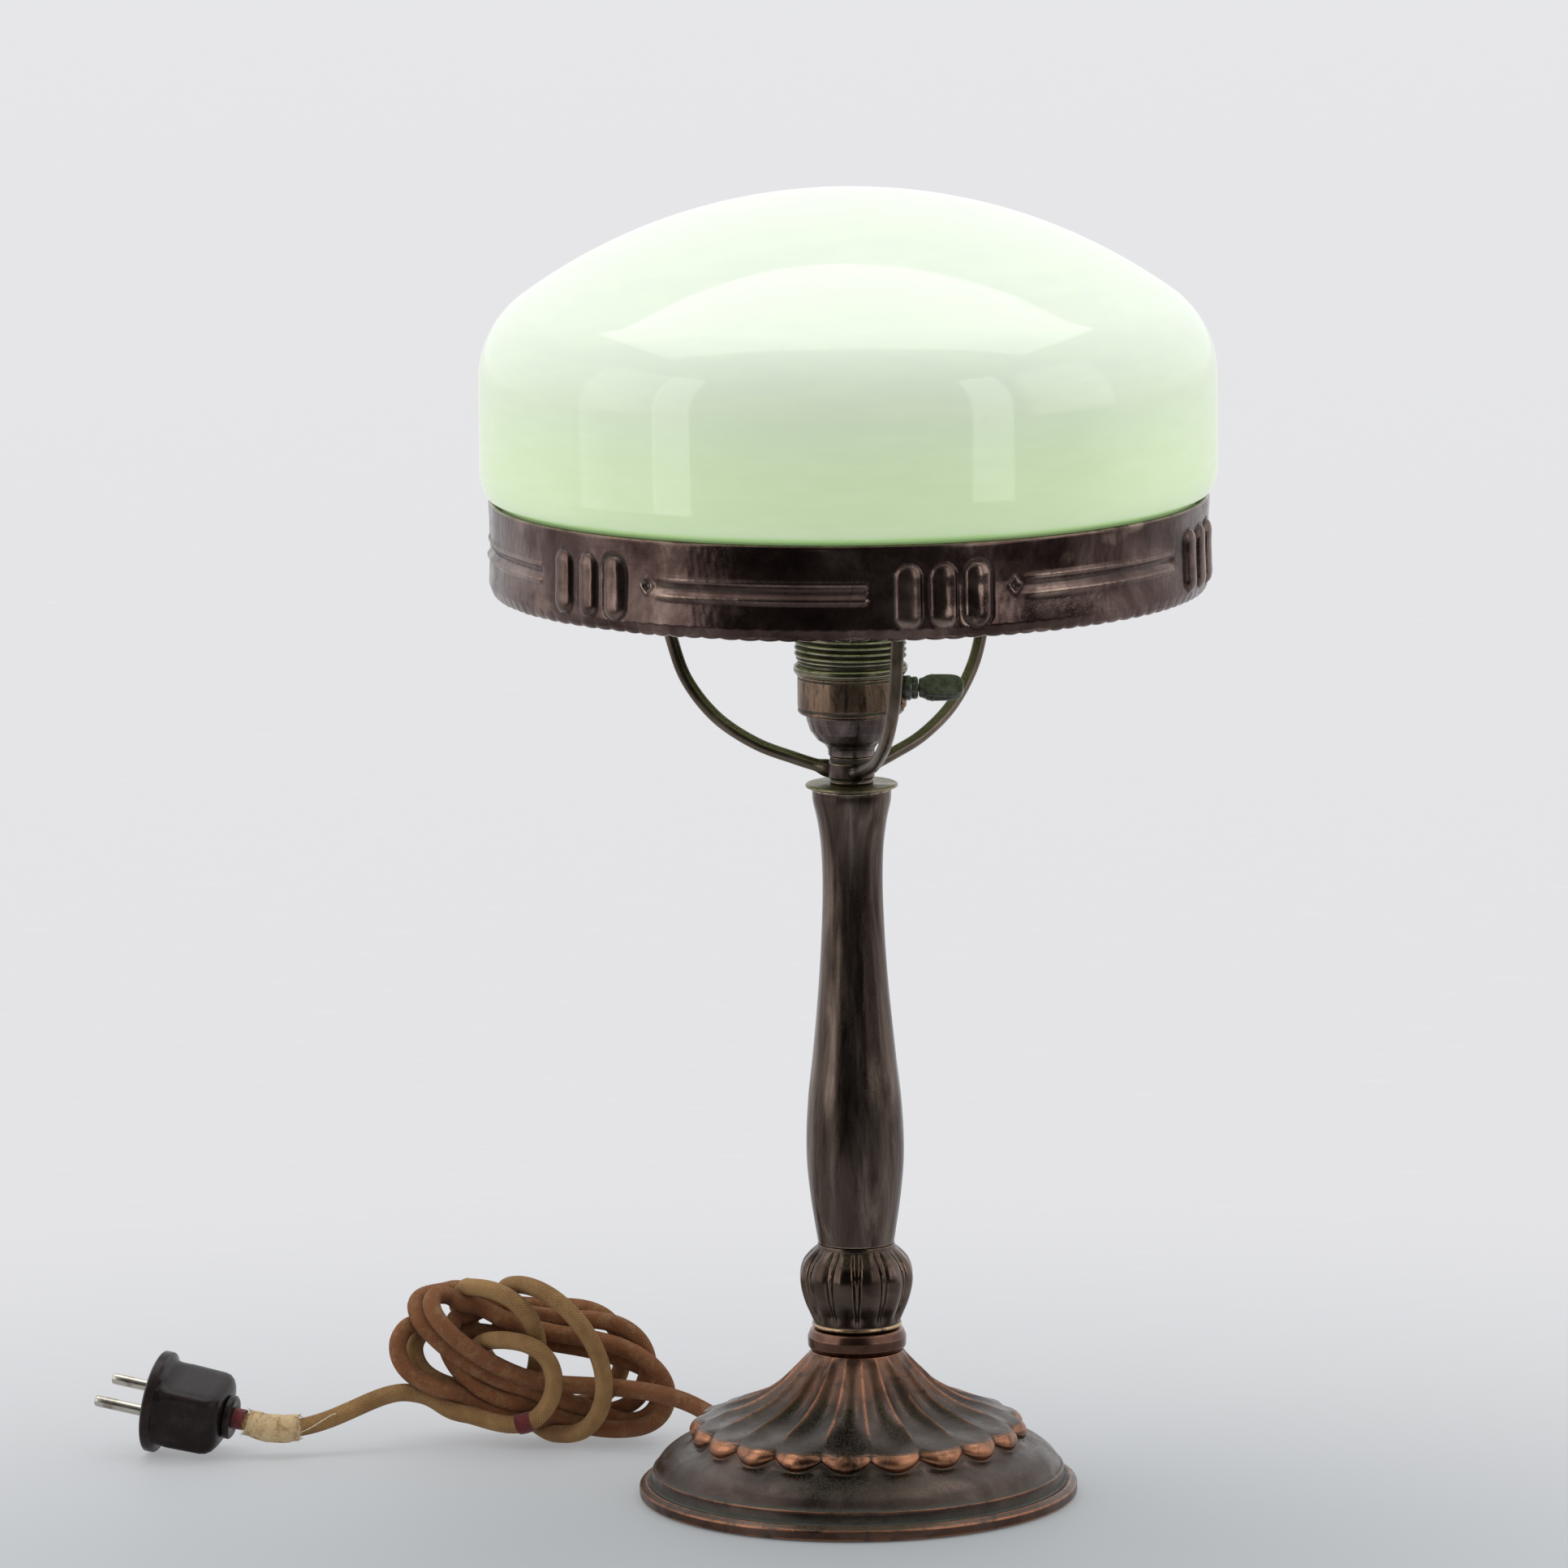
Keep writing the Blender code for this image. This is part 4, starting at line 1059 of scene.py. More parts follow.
class LAMP_OT_foot(bpy.types.Operator):
    """Cast the fluted foot with its petals, its flange and its rolled rim"""
    bl_idname = "lamp.foot"
    bl_label = "Foot"

    PETAL_PHASE = math.radians(4.3)
    FLUTE = ((15.9, 0, 50.7, 0), (16.6, -0.2, 49.6, -0.1), (18.4, -0.7, 47.5, -0.5),
             (22.6, -1.1, 43.3, -1.1), (28.2, -1.0, 38.0, -1.7), (36.2, -0.5, 33.2, -1.9),
             (46.0, 0.2, 29.4, -1.3), (51.8, 1.2, 26.8, -0.4), (53.7, 2.1, 25.4, 0.3))
    FACE = ((53.7, 2.1, 25.4, 0.3), (54.3, 2.5, 24.5, 0.5), (54.6, 3.2, 24.0, -0.2),
            (54.7, 3.6, 23.6, -1.4), (54.7, 3.4, 23.3, -2.6), (54.5, 2.6, 23.0, -3.6))
    FLANGE = ((54.5, 2.6, 23.0, -3.6), (56.6, 1.0, 20.4, -1.5), (60.0, 0, 18.1, 0),
              (64.3, 0, 16.0, 0), (67.4, 0, 13.6, 0), (69.3, 0, 11.2, 0))
    RIM = ((69.3, 11.2, 0), (70.3, 9.8, 0.3), (70.9, 9.3, 0.3), (70.9, 8.4, 0.4), (71.3, 5.4, 0.4),
           (71.8, 4.9, 0.5), (73.4, 5.3, 0.8), (75.5, 3.9, 1.2), (75.5, 0.6, 1.2), (74.2, 0.3, 0.2),
           (71.0, 0.3, 0.2))
    UNDER = ((71.0, 0.3), (71.0, 3.6), (69.0, 5.4), (67.2, 9.6), (62.2, 14.2), (53.6, 17.6),
             (51.6, 22.8), (36.0, 28.6), (25.6, 37.2), (15.6, 48.0), (5.4, 48.2), (5.4, 50.7),
             (15.9, 50.7))

    def execute(self, context):
        look = context.scene.lamp_foot
        self.petals = look.petals
        count = look.petals * 18
        phase = np.arange(count) / 18
        share = 1 - (2 * (phase % 1) - 1) ** 2
        angles = self.PETAL_PHASE + phase / look.petals * FULL_TURN
        rim = rounded(self.RIM)
        rim[:, 0] *= look.flange_radius / 0.0755
        under = mm(self.UNDER)
        columns = np.concatenate([
            blended(self.FLUTE, share, 5)[:, :-1], blended(self.FACE, share, 4)[:, :-1],
            blended(self.FLANGE, share, 4)[:, :-1],
            np.broadcast_to(rim, (count, *rim.shape)), np.broadcast_to(
                under[1:-1], (count, len(under) - 2, 2))], axis=1)
        points = turned_columns(columns, angles)
        outside = np.ones(points.shape[1])
        outside[-len(under):] = 0
        x, y, z = (points / MM).transpose(2, 0, 1)
        knock = 0.10 * MM * ripple(x / 5, y / 5, z / 3, 21) * outside * (z > 1)
        points *= (1 + knock / np.hypot(points[..., 0], points[..., 1]))[:, :, None]
        item = grid_object("fluted_foot", points, True, True)
        self.drill(item)
        shift_value(item, "rubbed", self.wear)
        shift_value(item, "hollow", lambda x, y, z: 0.45 * (np.hypot(x, y) > 71.0)
                    * (z < 5.6) * (np.hypot(x, y) < 72.4)
                    - (np.hypot(x, y) > 70.4) * (z > 5.8) * (z < 9.2))
        bronze = aged_metal("foot bronze", tuple(look.dark), (0.066, 0.046, 0.039),
                            (0.140, 0.100, 0.084), tuple(look.copper), 0.24, 0.44, None,
                            (0.060, 0.062, 0.048), dust=0.55, pits=0.9)
        set_piece(item, bronze, LAMP, ("base_shell",), crease=26)
        return {"FINISHED"}

    def drill(self, item):
        line = [cord_hole(radius) for radius in (53, 66, 80)]
        carve(item, tube("cord_drill", line, 4.7 * MM, 32))

    def wear(self, x, y, z):
        radius = np.hypot(x, y)
        flute = (np.arctan2(x, -y) - self.PETAL_PHASE) / FULL_TURN * self.petals
        off = np.abs(flute - np.round(flute))
        share = 1 - (1 - 2 * off) ** 2
        face = (radius > 53.7) * (radius < 59) * (z > 22.9 - 3.5 * share) * (z < 24.9 + 0.6 * share)
        rim = 0.35 * eased(radius, 72.0, 73.2)
        neck = 0.30 * eased(-radius, -32, -19)
        arris = 0.8 * eased(-off, -0.09, -0.01) * (z > 22) * eased(-radius, -52, -24)
        return 0.95 * face * (share > 0.05) + rim + neck + arris - 0.25 * (radius > 59)


# Column

class LampColumnProps(bpy.types.PropertyGroup):
    lobes: IntProperty(name="Lobes", description="Lobes round the knop", default=12, min=6, max=24)
    knop_radius: FloatProperty(
        name="Knop radius", description="Widest radius of the knop", default=0.0199, unit="LENGTH")
    stem_light: FloatVectorProperty(
        name="Stem", description="Lighter tone of the tall stem", subtype="COLOR",
        default=(0.225, 0.175, 0.145), min=0.0, max=1.0)
    disc_colour: FloatVectorProperty(
        name="Disc", description="Colour of the thin disc on the stem", subtype="COLOR",
        default=(0.115, 0.108, 0.058), min=0.0, max=1.0)


class LAMP_OT_column(bpy.types.Operator):
    """Turn the bead, the lobed knop, the vase-shaped stem and the disc on top of it"""
    bl_idname = "lamp.column"
    bl_label = "Column"

    BEAD = ((5.4, 50.6, 0), (15.4, 50.6, 0.3), (16.9, 52.2, 1.6), (17.0, 55.6, 2.0),
            (15.9, 58.3, 1.6), (13.6, 59.0, 0.3), (5.4, 59.0, 0))
    KNOP = ((13.2, 88.2), (13.5, 87.2), (14.9, 86.0), (16.6, 84.4), (18.4, 82.2), (19.5, 79.4),
            (19.9, 76.6), (19.6, 73.4), (18.9, 70.4), (17.9, 67.4), (16.4, 64.0), (15.0, 60.8))
    KNOP_FOOT = ((15.0, 60.8, 0), (15.3, 60.4, 0.2), (15.5, 59.9, 0.3), (15.3, 59.3, 0.3),
                 (14.2, 59.1, 0.2), (5.4, 59.1, 0))
    KNOP_INSIDE = ((5.4, 59.1), (5.4, 60.9), (12.6, 60.9), (16.4, 70.2), (17.2, 76.6),
                   (15.4, 83.0), (12.0, 86.4), (5.4, 86.4), (5.4, 88.2), (13.2, 88.2))
    STEM = ((13.65, 246.9), (13.75, 246.3), (13.55, 245.4), (13.3, 242), (11.8, 235), (10.7, 226),
            (10.3, 213), (10.9, 195), (12.1, 177), (14.3, 154), (15.9, 140), (16.7, 127),
            (16.6, 116), (15.4, 104), (13.7, 92.5), (13.1, 88.6))

    DISC = ((5.2, 247.2, 0), (15.6, 247.2, 0.2), (15.85, 247.5, 0.2), (15.8, 248.0, 0.2),
            (15.3, 248.3, 0.2), (5.2, 248.3, 0))

    def execute(self, context):
        look = context.scene.lamp_column
        redder = aged_metal("bead bronze", (0.030, 0.014, 0.010), (0.105, 0.054, 0.040),
                            (0.19, 0.105, 0.078), (0.34, 0.18, 0.115), 0.14, 0.30)
        bead = turned("bead", rounded(self.BEAD, arc=8), 120)
        set_piece(bead, redder, LAMP, ("bead_ring",))
        set_piece(self.knop(look), self.knop_bronze(), LAMP, ("knop",), 44)
        set_piece(self.stem(), self.stem_bronze(look), LAMP, ("stem_tube",))
        disc = turned("thin_disc", rounded(self.DISC, closed=True), 120, True)
        olive = aged_metal("olive disc", (0.040, 0.035, 0.018), tuple(look.disc_colour),
                           (0.19, 0.175, 0.105), (0.30, 0.25, 0.16), 0.26, 0.46)
        set_piece(disc, olive, LAMP, ("stem_disc",))
        return {"FINISHED"}

    def knop(self, look):
        count = look.lobes * 32
        angles = np.arange(count) / count * FULL_TURN
        line = evened(np.pad(smooth_line(mm(self.KNOP), 6), ((0, 0), (0, 1))), 0.00045)[:, :2]
        line[:, 0] *= look.knop_radius / 0.0199
        lobe = np.arange(count) / 32 % 1
        share = np.minimum(lobe, 1 - lobe)[:, None]
        off = share * FULL_TURN / look.lobes * line[:, 0] / MM
        high = line[:, 1] / MM
        half = np.interp(high, (60.8, 66, 76, 84, 88), (0.18, 0.35, 0.75, 1.15, 0.9))
        swell = eased(high, 60.6, 65.0) * eased(-high, -87.6, -84.8)
        groove = np.exp(-((off - half - 0.30) / 0.34) ** 2)
        rib = eased(-off, -half - 0.1, -half + 0.45)
        crown = np.cos(math.pi - share * FULL_TURN)
        depth = (0.10 * rib - 0.70 * groove - 0.45 * (1 - crown)) * swell
        columns = np.stack([line[:, 0] + depth * MM, np.broadcast_to(line[:, 1], depth.shape)],
                           axis=2)
        foot = rounded(self.KNOP_FOOT)[1:]
        rest = np.concatenate([foot, mm(self.KNOP_INSIDE)[1:-1]])
        columns = np.concatenate([columns, np.broadcast_to(rest, (count, *rest.shape))], axis=1)
        item = grid_object("lobed_knop", turned_columns(columns, angles), True, True)
        shift_value(item, "rubbed", lambda x, y, z: 0.75 * (z < 60.7) * (np.hypot(x, y) > 14)
                    - 0.72 * (z >= 60.7))
        return item

    def knop_bronze(self):
        return aged_metal("knop bronze", (0.026, 0.016, 0.013), (0.100, 0.070, 0.056),
                          (0.21, 0.155, 0.125), (0.50, 0.33, 0.19), 0.15, 0.34,
                          grime=(0.022, 0.018, 0.014))

    def stem(self):
        outside = smooth_line(mm(self.STEM), 8)
        inside = outside[::-8] - (1.6 * MM, 0)
        outline = np.vstack([outside, inside])
        return turned("tall_stem", outline, 144, True)

    def stem_bronze(self, look):
        return aged_metal("stem bronze", (0.034, 0.022, 0.018), (0.108, 0.078, 0.063),
                          tuple(look.stem_light), (0.40, 0.31, 0.24), 0.16, 0.36,
                          streak=(5.0, 5.0, 0.55), dents=0.0009)


# Gallery

class LampGalleryProps(bpy.types.PropertyGroup):
    groups: IntProperty(name="Groups", description="Groups of three raised ovals", default=6,
                        min=3, max=12)
    scallops: IntProperty(name="Scallops", description="Small scallops round the lower edge",
                          default=120, min=24, max=240)
    arm_thickness: FloatProperty(
        name="Arms", description="Thickness of the three bowed arms", default=0.0044,
        unit="LENGTH")
    band_light: FloatVectorProperty(
        name="Band", description="Lighter tone of the gallery band", subtype="COLOR",
        default=(0.250, 0.178, 0.155), min=0.0, max=1.0)


class LAMP_OT_gallery(bpy.types.Operator):
    """Raise the chased band, its ledge with three screws, and the three bowed arms"""
    bl_idname = "lamp.gallery"
    bl_label = "Gallery"

    FIRST_GROUP = math.radians(14.3)
    OVAL_PITCH = math.radians(5.6)
    OVAL_HALF, OVAL_REACH, OVAL_HEIGHT = 4.6, 6.2, 330.5
    BAND = ((121.3, 347.9, 0), (122.3, 347.9, 0.4), (122.6, 347.1, 0.4), (122.5, 344.6, 0.3),
            (122.3, 341.0, 0), (122.1, 334, 0), (122.3, 327, 0),
            (122.5, 322.6, 0), (122.6, 319.6, 0.8), (121.5, 316.6, 0.8), (120.3, 315.6, 0.4),
            (119.4, 316.0, 0.3), (120.9, 320.4, 0.6), (120.8, 333.5, 0), (121.1, 347.6, 0.2))
    ARM_AZIMUTHS = (("front", -76.4), ("right", 43.6), ("left", 163.6))
    BOW = ((6.5, 252.7), (12, 254.0), (20, 256.2), (34, 260.8), (48, 269.4), (58.4, 282),
           (63.6, 296), (66.8, 309), (73, 321), (82, 326.6), (94, 328.6), (104, 329.4),
           (109, 330.1), (113.4, 330.6))

    def execute(self, context):
        look = context.scene.lamp_gallery
        self.bronze = aged_metal("band bronze", (0.034, 0.020, 0.017), (0.098, 0.062, 0.054),
                                 tuple(look.band_light), (0.40, 0.29, 0.235), 0.12, 0.30,
                                 grime=(0.026, 0.020, 0.016), dents=0.0005)
        self.band(look)
        self.ledge()
        for name, degrees in self.ARM_AZIMUTHS:
            self.arm(name, math.radians(degrees), look)
        self.hub()
        return {"FINISHED"}

    def band(self, look):
        count = 1440
        angles = np.arange(count) / count * FULL_TURN
        outline = rounded(self.BAND)
        outline = np.vstack([outline, outline[:1]])
        line = evened(np.pad(outline, ((0, 0), (0, 1))), 0.00062)[:-1, :2]
        spacing = FULL_TURN / look.groups
        near = (angles - self.FIRST_GROUP + spacing / 2) % spacing - spacing / 2
        across = near[:, None] * line[:, 0] / MM
        high = line[:, 1][None] / MM
        outer = (line[:, 0] > 121.7 * MM) & (high[0] < 347) & (high[0] > 317)
        lift = np.zeros(across.shape)
        for k in (-1, 0, 1):
            side = across - k * self.OVAL_PITCH * 122.3
            reach = np.maximum(np.abs(high - self.OVAL_HEIGHT) - self.OVAL_REACH, 0)
            edge = self.OVAL_HALF - np.hypot(side, reach)
            inward = np.clip(edge / self.OVAL_HALF, 0, 1)
            lift = np.maximum(lift, 2.1 * np.sqrt(1 - (1 - inward) ** 2))
            lift -= 0.32 * np.exp(-((edge + 0.55) / 0.45) ** 2)
        lift += self.channel(near, spacing, high)
        lift += 0.16 * ripple(angles[:, None] * 40, high / 5, angles[:, None] * 13, 31)
        lift += 0.05 * ripple(angles[:, None] * 230, high, angles[:, None] * 90, 32)
        columns = np.stack([line[:, 0] + lift * outer * MM,
                            np.broadcast_to(line[:, 1], across.shape)], axis=2)
        bite = np.abs(np.sin(angles * look.scallops / 2 + 0.5 * np.sin(angles * 11)))
        edge = eased(-high, -322.8, -318.6)
        bump = (0.50 * bite[:, None] ** 0.7 - 0.35 + 0.22 * ripple(
            angles[:, None] * 60, 0, 0, 33)) * edge
        columns[..., 1] -= bump * MM * (line[:, 0] > 119.3 * MM)
        item = grid_object("gallery_band_chased", turned_columns(columns, angles), True, True)
        shift_value(item, "rubbed", self.wear)
        set_piece(item, self.bronze, LAMP, ("gallery_band",), 50)

    def channel(self, near, spacing, high):
        """The sunk channel between two groups of ovals, with a pit where it starts."""
        along = (near[:, None] + spacing / 2) % spacing - spacing / 2
        along = np.where(along > 0, along, along + spacing) - spacing / 2
        half = math.radians(18.4)
        run = eased(along, -half + math.radians(1.0), -half + math.radians(5.0)) \
            * eased(-along, -half, -half + math.radians(0.7))
        groove = -0.95 * np.exp(-((high - 332.2) / 1.25) ** 2)
        ridges = 0.62 * np.exp(-((high - 334.9) / 0.75) ** 2) \
            + 0.85 * np.exp(-((high - 329.4) / 1.05) ** 2)
        side = (along + half - math.radians(0.3)) * 122.3
        pit = -1.0 * eased(-(np.abs(side) / 1.5 + np.abs(high - 332.4) / 1.9), -1.25, -0.55)
        rim = 0.35 * np.exp(-((np.abs(side) / 1.5 + np.abs(high - 332.4) / 1.9 - 1.5) / 0.3) ** 2)
        return (groove + ridges) * run + pit + rim

    def wear(self, x, y, z):
        angle = np.arctan2(x, -y)
        patch = ripple(angle * 9, z / 6, angle * 4, 41) + 0.6 * ripple(angle * 31, z / 2, angle, 42)
        proud = eased(np.hypot(x, y), 122.9, 124.2) * 0.55
        lower = eased(-z, -317.6, -315.9) * 0.35
        return 0.75 * eased(patch, 0.36, 0.62) + proud + lower - 0.35

    def ledge(self):
        outline = rounded([(107.5, 331.8, 0.3), (120.7, 331.8, 0), (120.7, 333.0, 0),
                           (107.5, 333.0, 0.3)], closed=True)
        item = turned("seat_ledge", outline, 180, True)
        set_piece(item, self.bronze, LAMP, ("gallery_ledge",))
        brass = shared_brass()
        for name, degrees in self.ARM_AZIMUTHS:
            place = Matrix.Rotation(math.radians(degrees), 4, "Z") \
                @ Matrix.Translation((111 * MM, 0, 0))
            outline = rounded([(0, 334.95, 0), (1.6, 334.75, 0.6), (2.6, 333.9, 0.4),
                               (2.6, 333.1, 0.1), (1.4, 333.0, 0), (1.4, 328.6, 0.3),
                               (0, 328.4, 0)])
            screw = turned("arm_screw_" + name, outline, 40, place=place)
            cut = pocket_block(place @ Matrix.Rotation(0.6, 4, "Z"), (-3.4, -0.4, 334.2),
                               (3.4, 0.4, 336))
            set_piece(carve(screw, cut), brass, LAMP, ("ledge_screw_" + name,))

    def arm(self, name, azimuth, look):
        line = np.insert(mm(self.BOW), 1, 0.0, axis=1)
        line = evened(smooth_line(line, 8), 0.0012)
        turn = np.array(Matrix.Rotation(azimuth, 3, "Z"))
        out = line[:, 0] / MM
        thick = look.arm_thickness / 2
        radius = thick * (1 + 0.42 * eased(-out, -13, -8.5) + 0.60 * eased(out, 99, 107)
                          - 0.25 * eased(out, 111.5, 113.4))
        flat = 1 - 0.66 * eased(out, 98, 106)
        line = line @ turn.T
        rings = flattened_tube(line, radius, flat, 28)
        item = grid_object("bowed_arm_" + name, capped(rings), False, True)
        tone = aged_metal("arm bronze " + name, (0.040, 0.028, 0.021), (0.115, 0.090, 0.068),
                          (0.21, 0.170, 0.130), (0.40, 0.31, 0.22), 0.20, 0.42,
                          streak=(1.0, 1.0, 0.5))
        set_piece(item, tone, LAMP, ("arm_" + name,))

    def hub(self):
        outline = rounded([(5.15, 248.5, 0.2), (7.4, 248.5, 0.3), (7.7, 249.2, 0.3),
                           (7.2, 250.0, 0.3), (7.9, 250.8, 0.5), (8.0, 255.6, 0.8),
                           (7.3, 256.6, 0.3), (7.5, 257.9, 0.3), (5.15, 258.0, 0.2)], closed=True)
        item = turned("arm_collar", outline, 96, True)
        dark = aged_metal("hub bronze", (0.018, 0.012, 0.010), (0.058, 0.040, 0.035),
                          (0.13, 0.095, 0.080), (0.30, 0.22, 0.17), 0.20, 0.40)
        set_piece(item, dark, LAMP, ("arm_hub",))


def flattened_tube(line, radius, flat, sides):
    """A tube whose height, but not its width, is scaled by flat at each point."""
    ahead = np.gradient(line, axis=0)
    ahead /= np.linalg.norm(ahead, axis=1)[:, None]
    side = np.cross(ahead, (0.0, 0.0, 1.0))
    side /= np.linalg.norm(side, axis=1)[:, None]
    up = np.cross(side, ahead)
    angle = np.linspace(0, FULL_TURN, sides, endpoint=False)
    wide = (radius[:, None] * np.cos(angle))[:, :, None] * side[:, None]
    tall = ((radius * flat)[:, None] * np.sin(angle))[:, :, None] * up[:, None]
    return line[:, None] + wide + tall


# Shade

class LampShadeProps(bpy.types.PropertyGroup):
    glass_colour: FloatVectorProperty(
        name="Glass", description="Colour of the opal glass", subtype="COLOR",
        default=(0.64, 0.78, 0.50), min=0.0, max=1.0)
    wall: FloatProperty(name="Wall", description="Thickness of the glass", default=0.003,
                        min=0.002, max=0.005, unit="LENGTH")


class LAMP_OT_shade(bpy.types.Operator):
    """Blow the domed opal glass shade"""
    bl_idname = "lamp.shade"
    bl_label = "Shade"

    TOP, DOME, SHOULDER = 452.0, 190.3, 33.9
    MEETING = math.radians(35.84)
    LIP = ((125.5, 357.5), (124.95, 353.4), (123.7, 350.4), (122.3, 349.0), (120.4, 348.1),
           (118.6, 346.6), (117.7, 344.0), (117.5, 339.0), (117.5, 334.0), (116.9, 333.3),
           (115.2, 333.3), (114.6, 334.2), (114.5, 340.0), (114.7, 345.2), (115.8, 347.9),
           (118.4, 350.0), (121.0, 352.8), (122.2, 355.6), (122.5, 358.5))

    def skin(self, inset):
        """The dome and shoulder from the top to the straight side, inset from the outside."""
        centre = self.TOP - self.DOME
        arm = self.DOME - self.SHOULDER
        hub = np.array((arm * math.sin(self.MEETING), centre + arm * math.cos(self.MEETING)))
        dome = np.linspace(0, self.MEETING, 40, endpoint=False)[:, None]
        turn = np.linspace(self.MEETING, math.pi / 2, 26)[:, None]
        points = [np.array((0, centre)) + (self.DOME - inset) * np.hstack([np.sin(dome),
                                                                            np.cos(dome)]),
                  hub + (self.SHOULDER - inset) * np.hstack([np.sin(turn), np.cos(turn)])]
        line = np.vstack(points)
        side = np.linspace(line[-1][1], 358.5, 10)[1:-1]
        return np.vstack([line, np.stack([np.full(8, line[-1][0]), side], axis=1)])

    def execute(self, context):
        look = context.scene.lamp_shade
        lip = smooth_line(self.LIP, 4)
        outline = np.vstack([self.skin(0), lip, self.skin(look.wall / MM)[::-1]]) * MM
        points = turned_points(outline, 224)
        x, y, z = (points / MM).transpose(2, 0, 1)
        wave = 0.14 * ripple(x / 17, y / 17, z / 13, 51) * eased(z, 350, 372)
        centre = np.array((0, 0, 300.0 * MM))
        out = points - centre
        points = centre + out * (1 + wave * MM / np.linalg.norm(out, axis=2))[:, :, None]
        points[..., 2] = np.minimum(points[..., 2], self.TOP * MM)
        item = grid_object("opal_shade", points, True, False, apart=5e-6)
        set_piece(item, self.glass(look), SHADE, ("shade_glass",), 60)
        return {"FINISHED"}

    def glass(self, look):
        colour = tuple(look.glass_colour)
        # Painted light: the glass glows faintly of itself, standing for studio light scattered
        # through the opal glass; the bulb is not lit.
        paint = Finish("opal glass", colour, 0.055, Subsurface_Weight=0.35, Subsurface_Scale=0.012,
                       Subsurface_Radius=(0.8, 1.0, 0.6), Emission_Strength=0.14,
                       Emission_Color=(0.62, 0.78, 0.48, 1.0))
        cloud = paint.between(paint.noise(11, 4, 0.6), 0.3, 0.7)
        tone = paint.mix(cloud, colour, tuple(c * 0.965 for c in colour))
        parts = paint.node("ShaderNodeSeparateXYZ")
        paint.feed(parts.inputs[0], paint.place)
        # Painted light: the glass turns paler and whiter towards the top, where the overhead lamp
        # lights it most.
        tone = paint.mix(paint.between(parts.outputs["Z"], 0.362, 0.412, 0.0, 0.80), tone,
                         (0.66, 0.705, 0.65))
        # Painted light: a band of saturated green round the rim stands for light shining through
        # the glass edge.
        lip = paint.sum("MULTIPLY", paint.between(parts.outputs["Z"], 0.3492, 0.3512, 0.85, 0.0),
                        paint.between(parts.outputs["Z"], 0.3440, 0.3480, 0.20, 1.0))
        tone = paint.mix(lip, tone, (0.40, 0.72, 0.20))
        thin = paint.between(paint.noise(46, 3, 0.5, (1, 1, 5)), 0.35, 0.75, 0.0, 0.18)
        tone = paint.mix(thin, tone, (0.76, 0.89, 0.64))
        grime = paint.sum("MULTIPLY", paint.stored("hollow"), 0.25)
        tone = paint.mix(grime, tone, (0.22, 0.26, 0.16))
        paint.drive("Base Color", tone)
        paint.drive("Roughness", paint.between(paint.noise(70, 5, 0.75), 0.45, 0.78, 0.045, 0.10))
        paint.bump(paint.noise(22, 3, 0.5), 0.00022, 0.5)
        paint.bump(paint.between(paint.cells(240), 0.0, 0.10), 0.00003, 0.5)
        return paint.material


# Lamp holder

class LampHolderProps(bpy.types.PropertyGroup):
    thread_pitch: FloatProperty(
        name="Thread pitch", description="Pitch of the holder's outside thread",
        default=0.0021, min=0.0015, max=0.004, unit="LENGTH")
    body_colour: FloatVectorProperty(
        name="Body", description="Tone of the brushed body", subtype="COLOR",
        default=(0.058, 0.040, 0.032), min=0.0, max=1.0)
    skirt_colour: FloatVectorProperty(
        name="Thread", description="Tone of the threaded skirt", subtype="COLOR",
        default=(0.125, 0.115, 0.074), min=0.0, max=1.0)


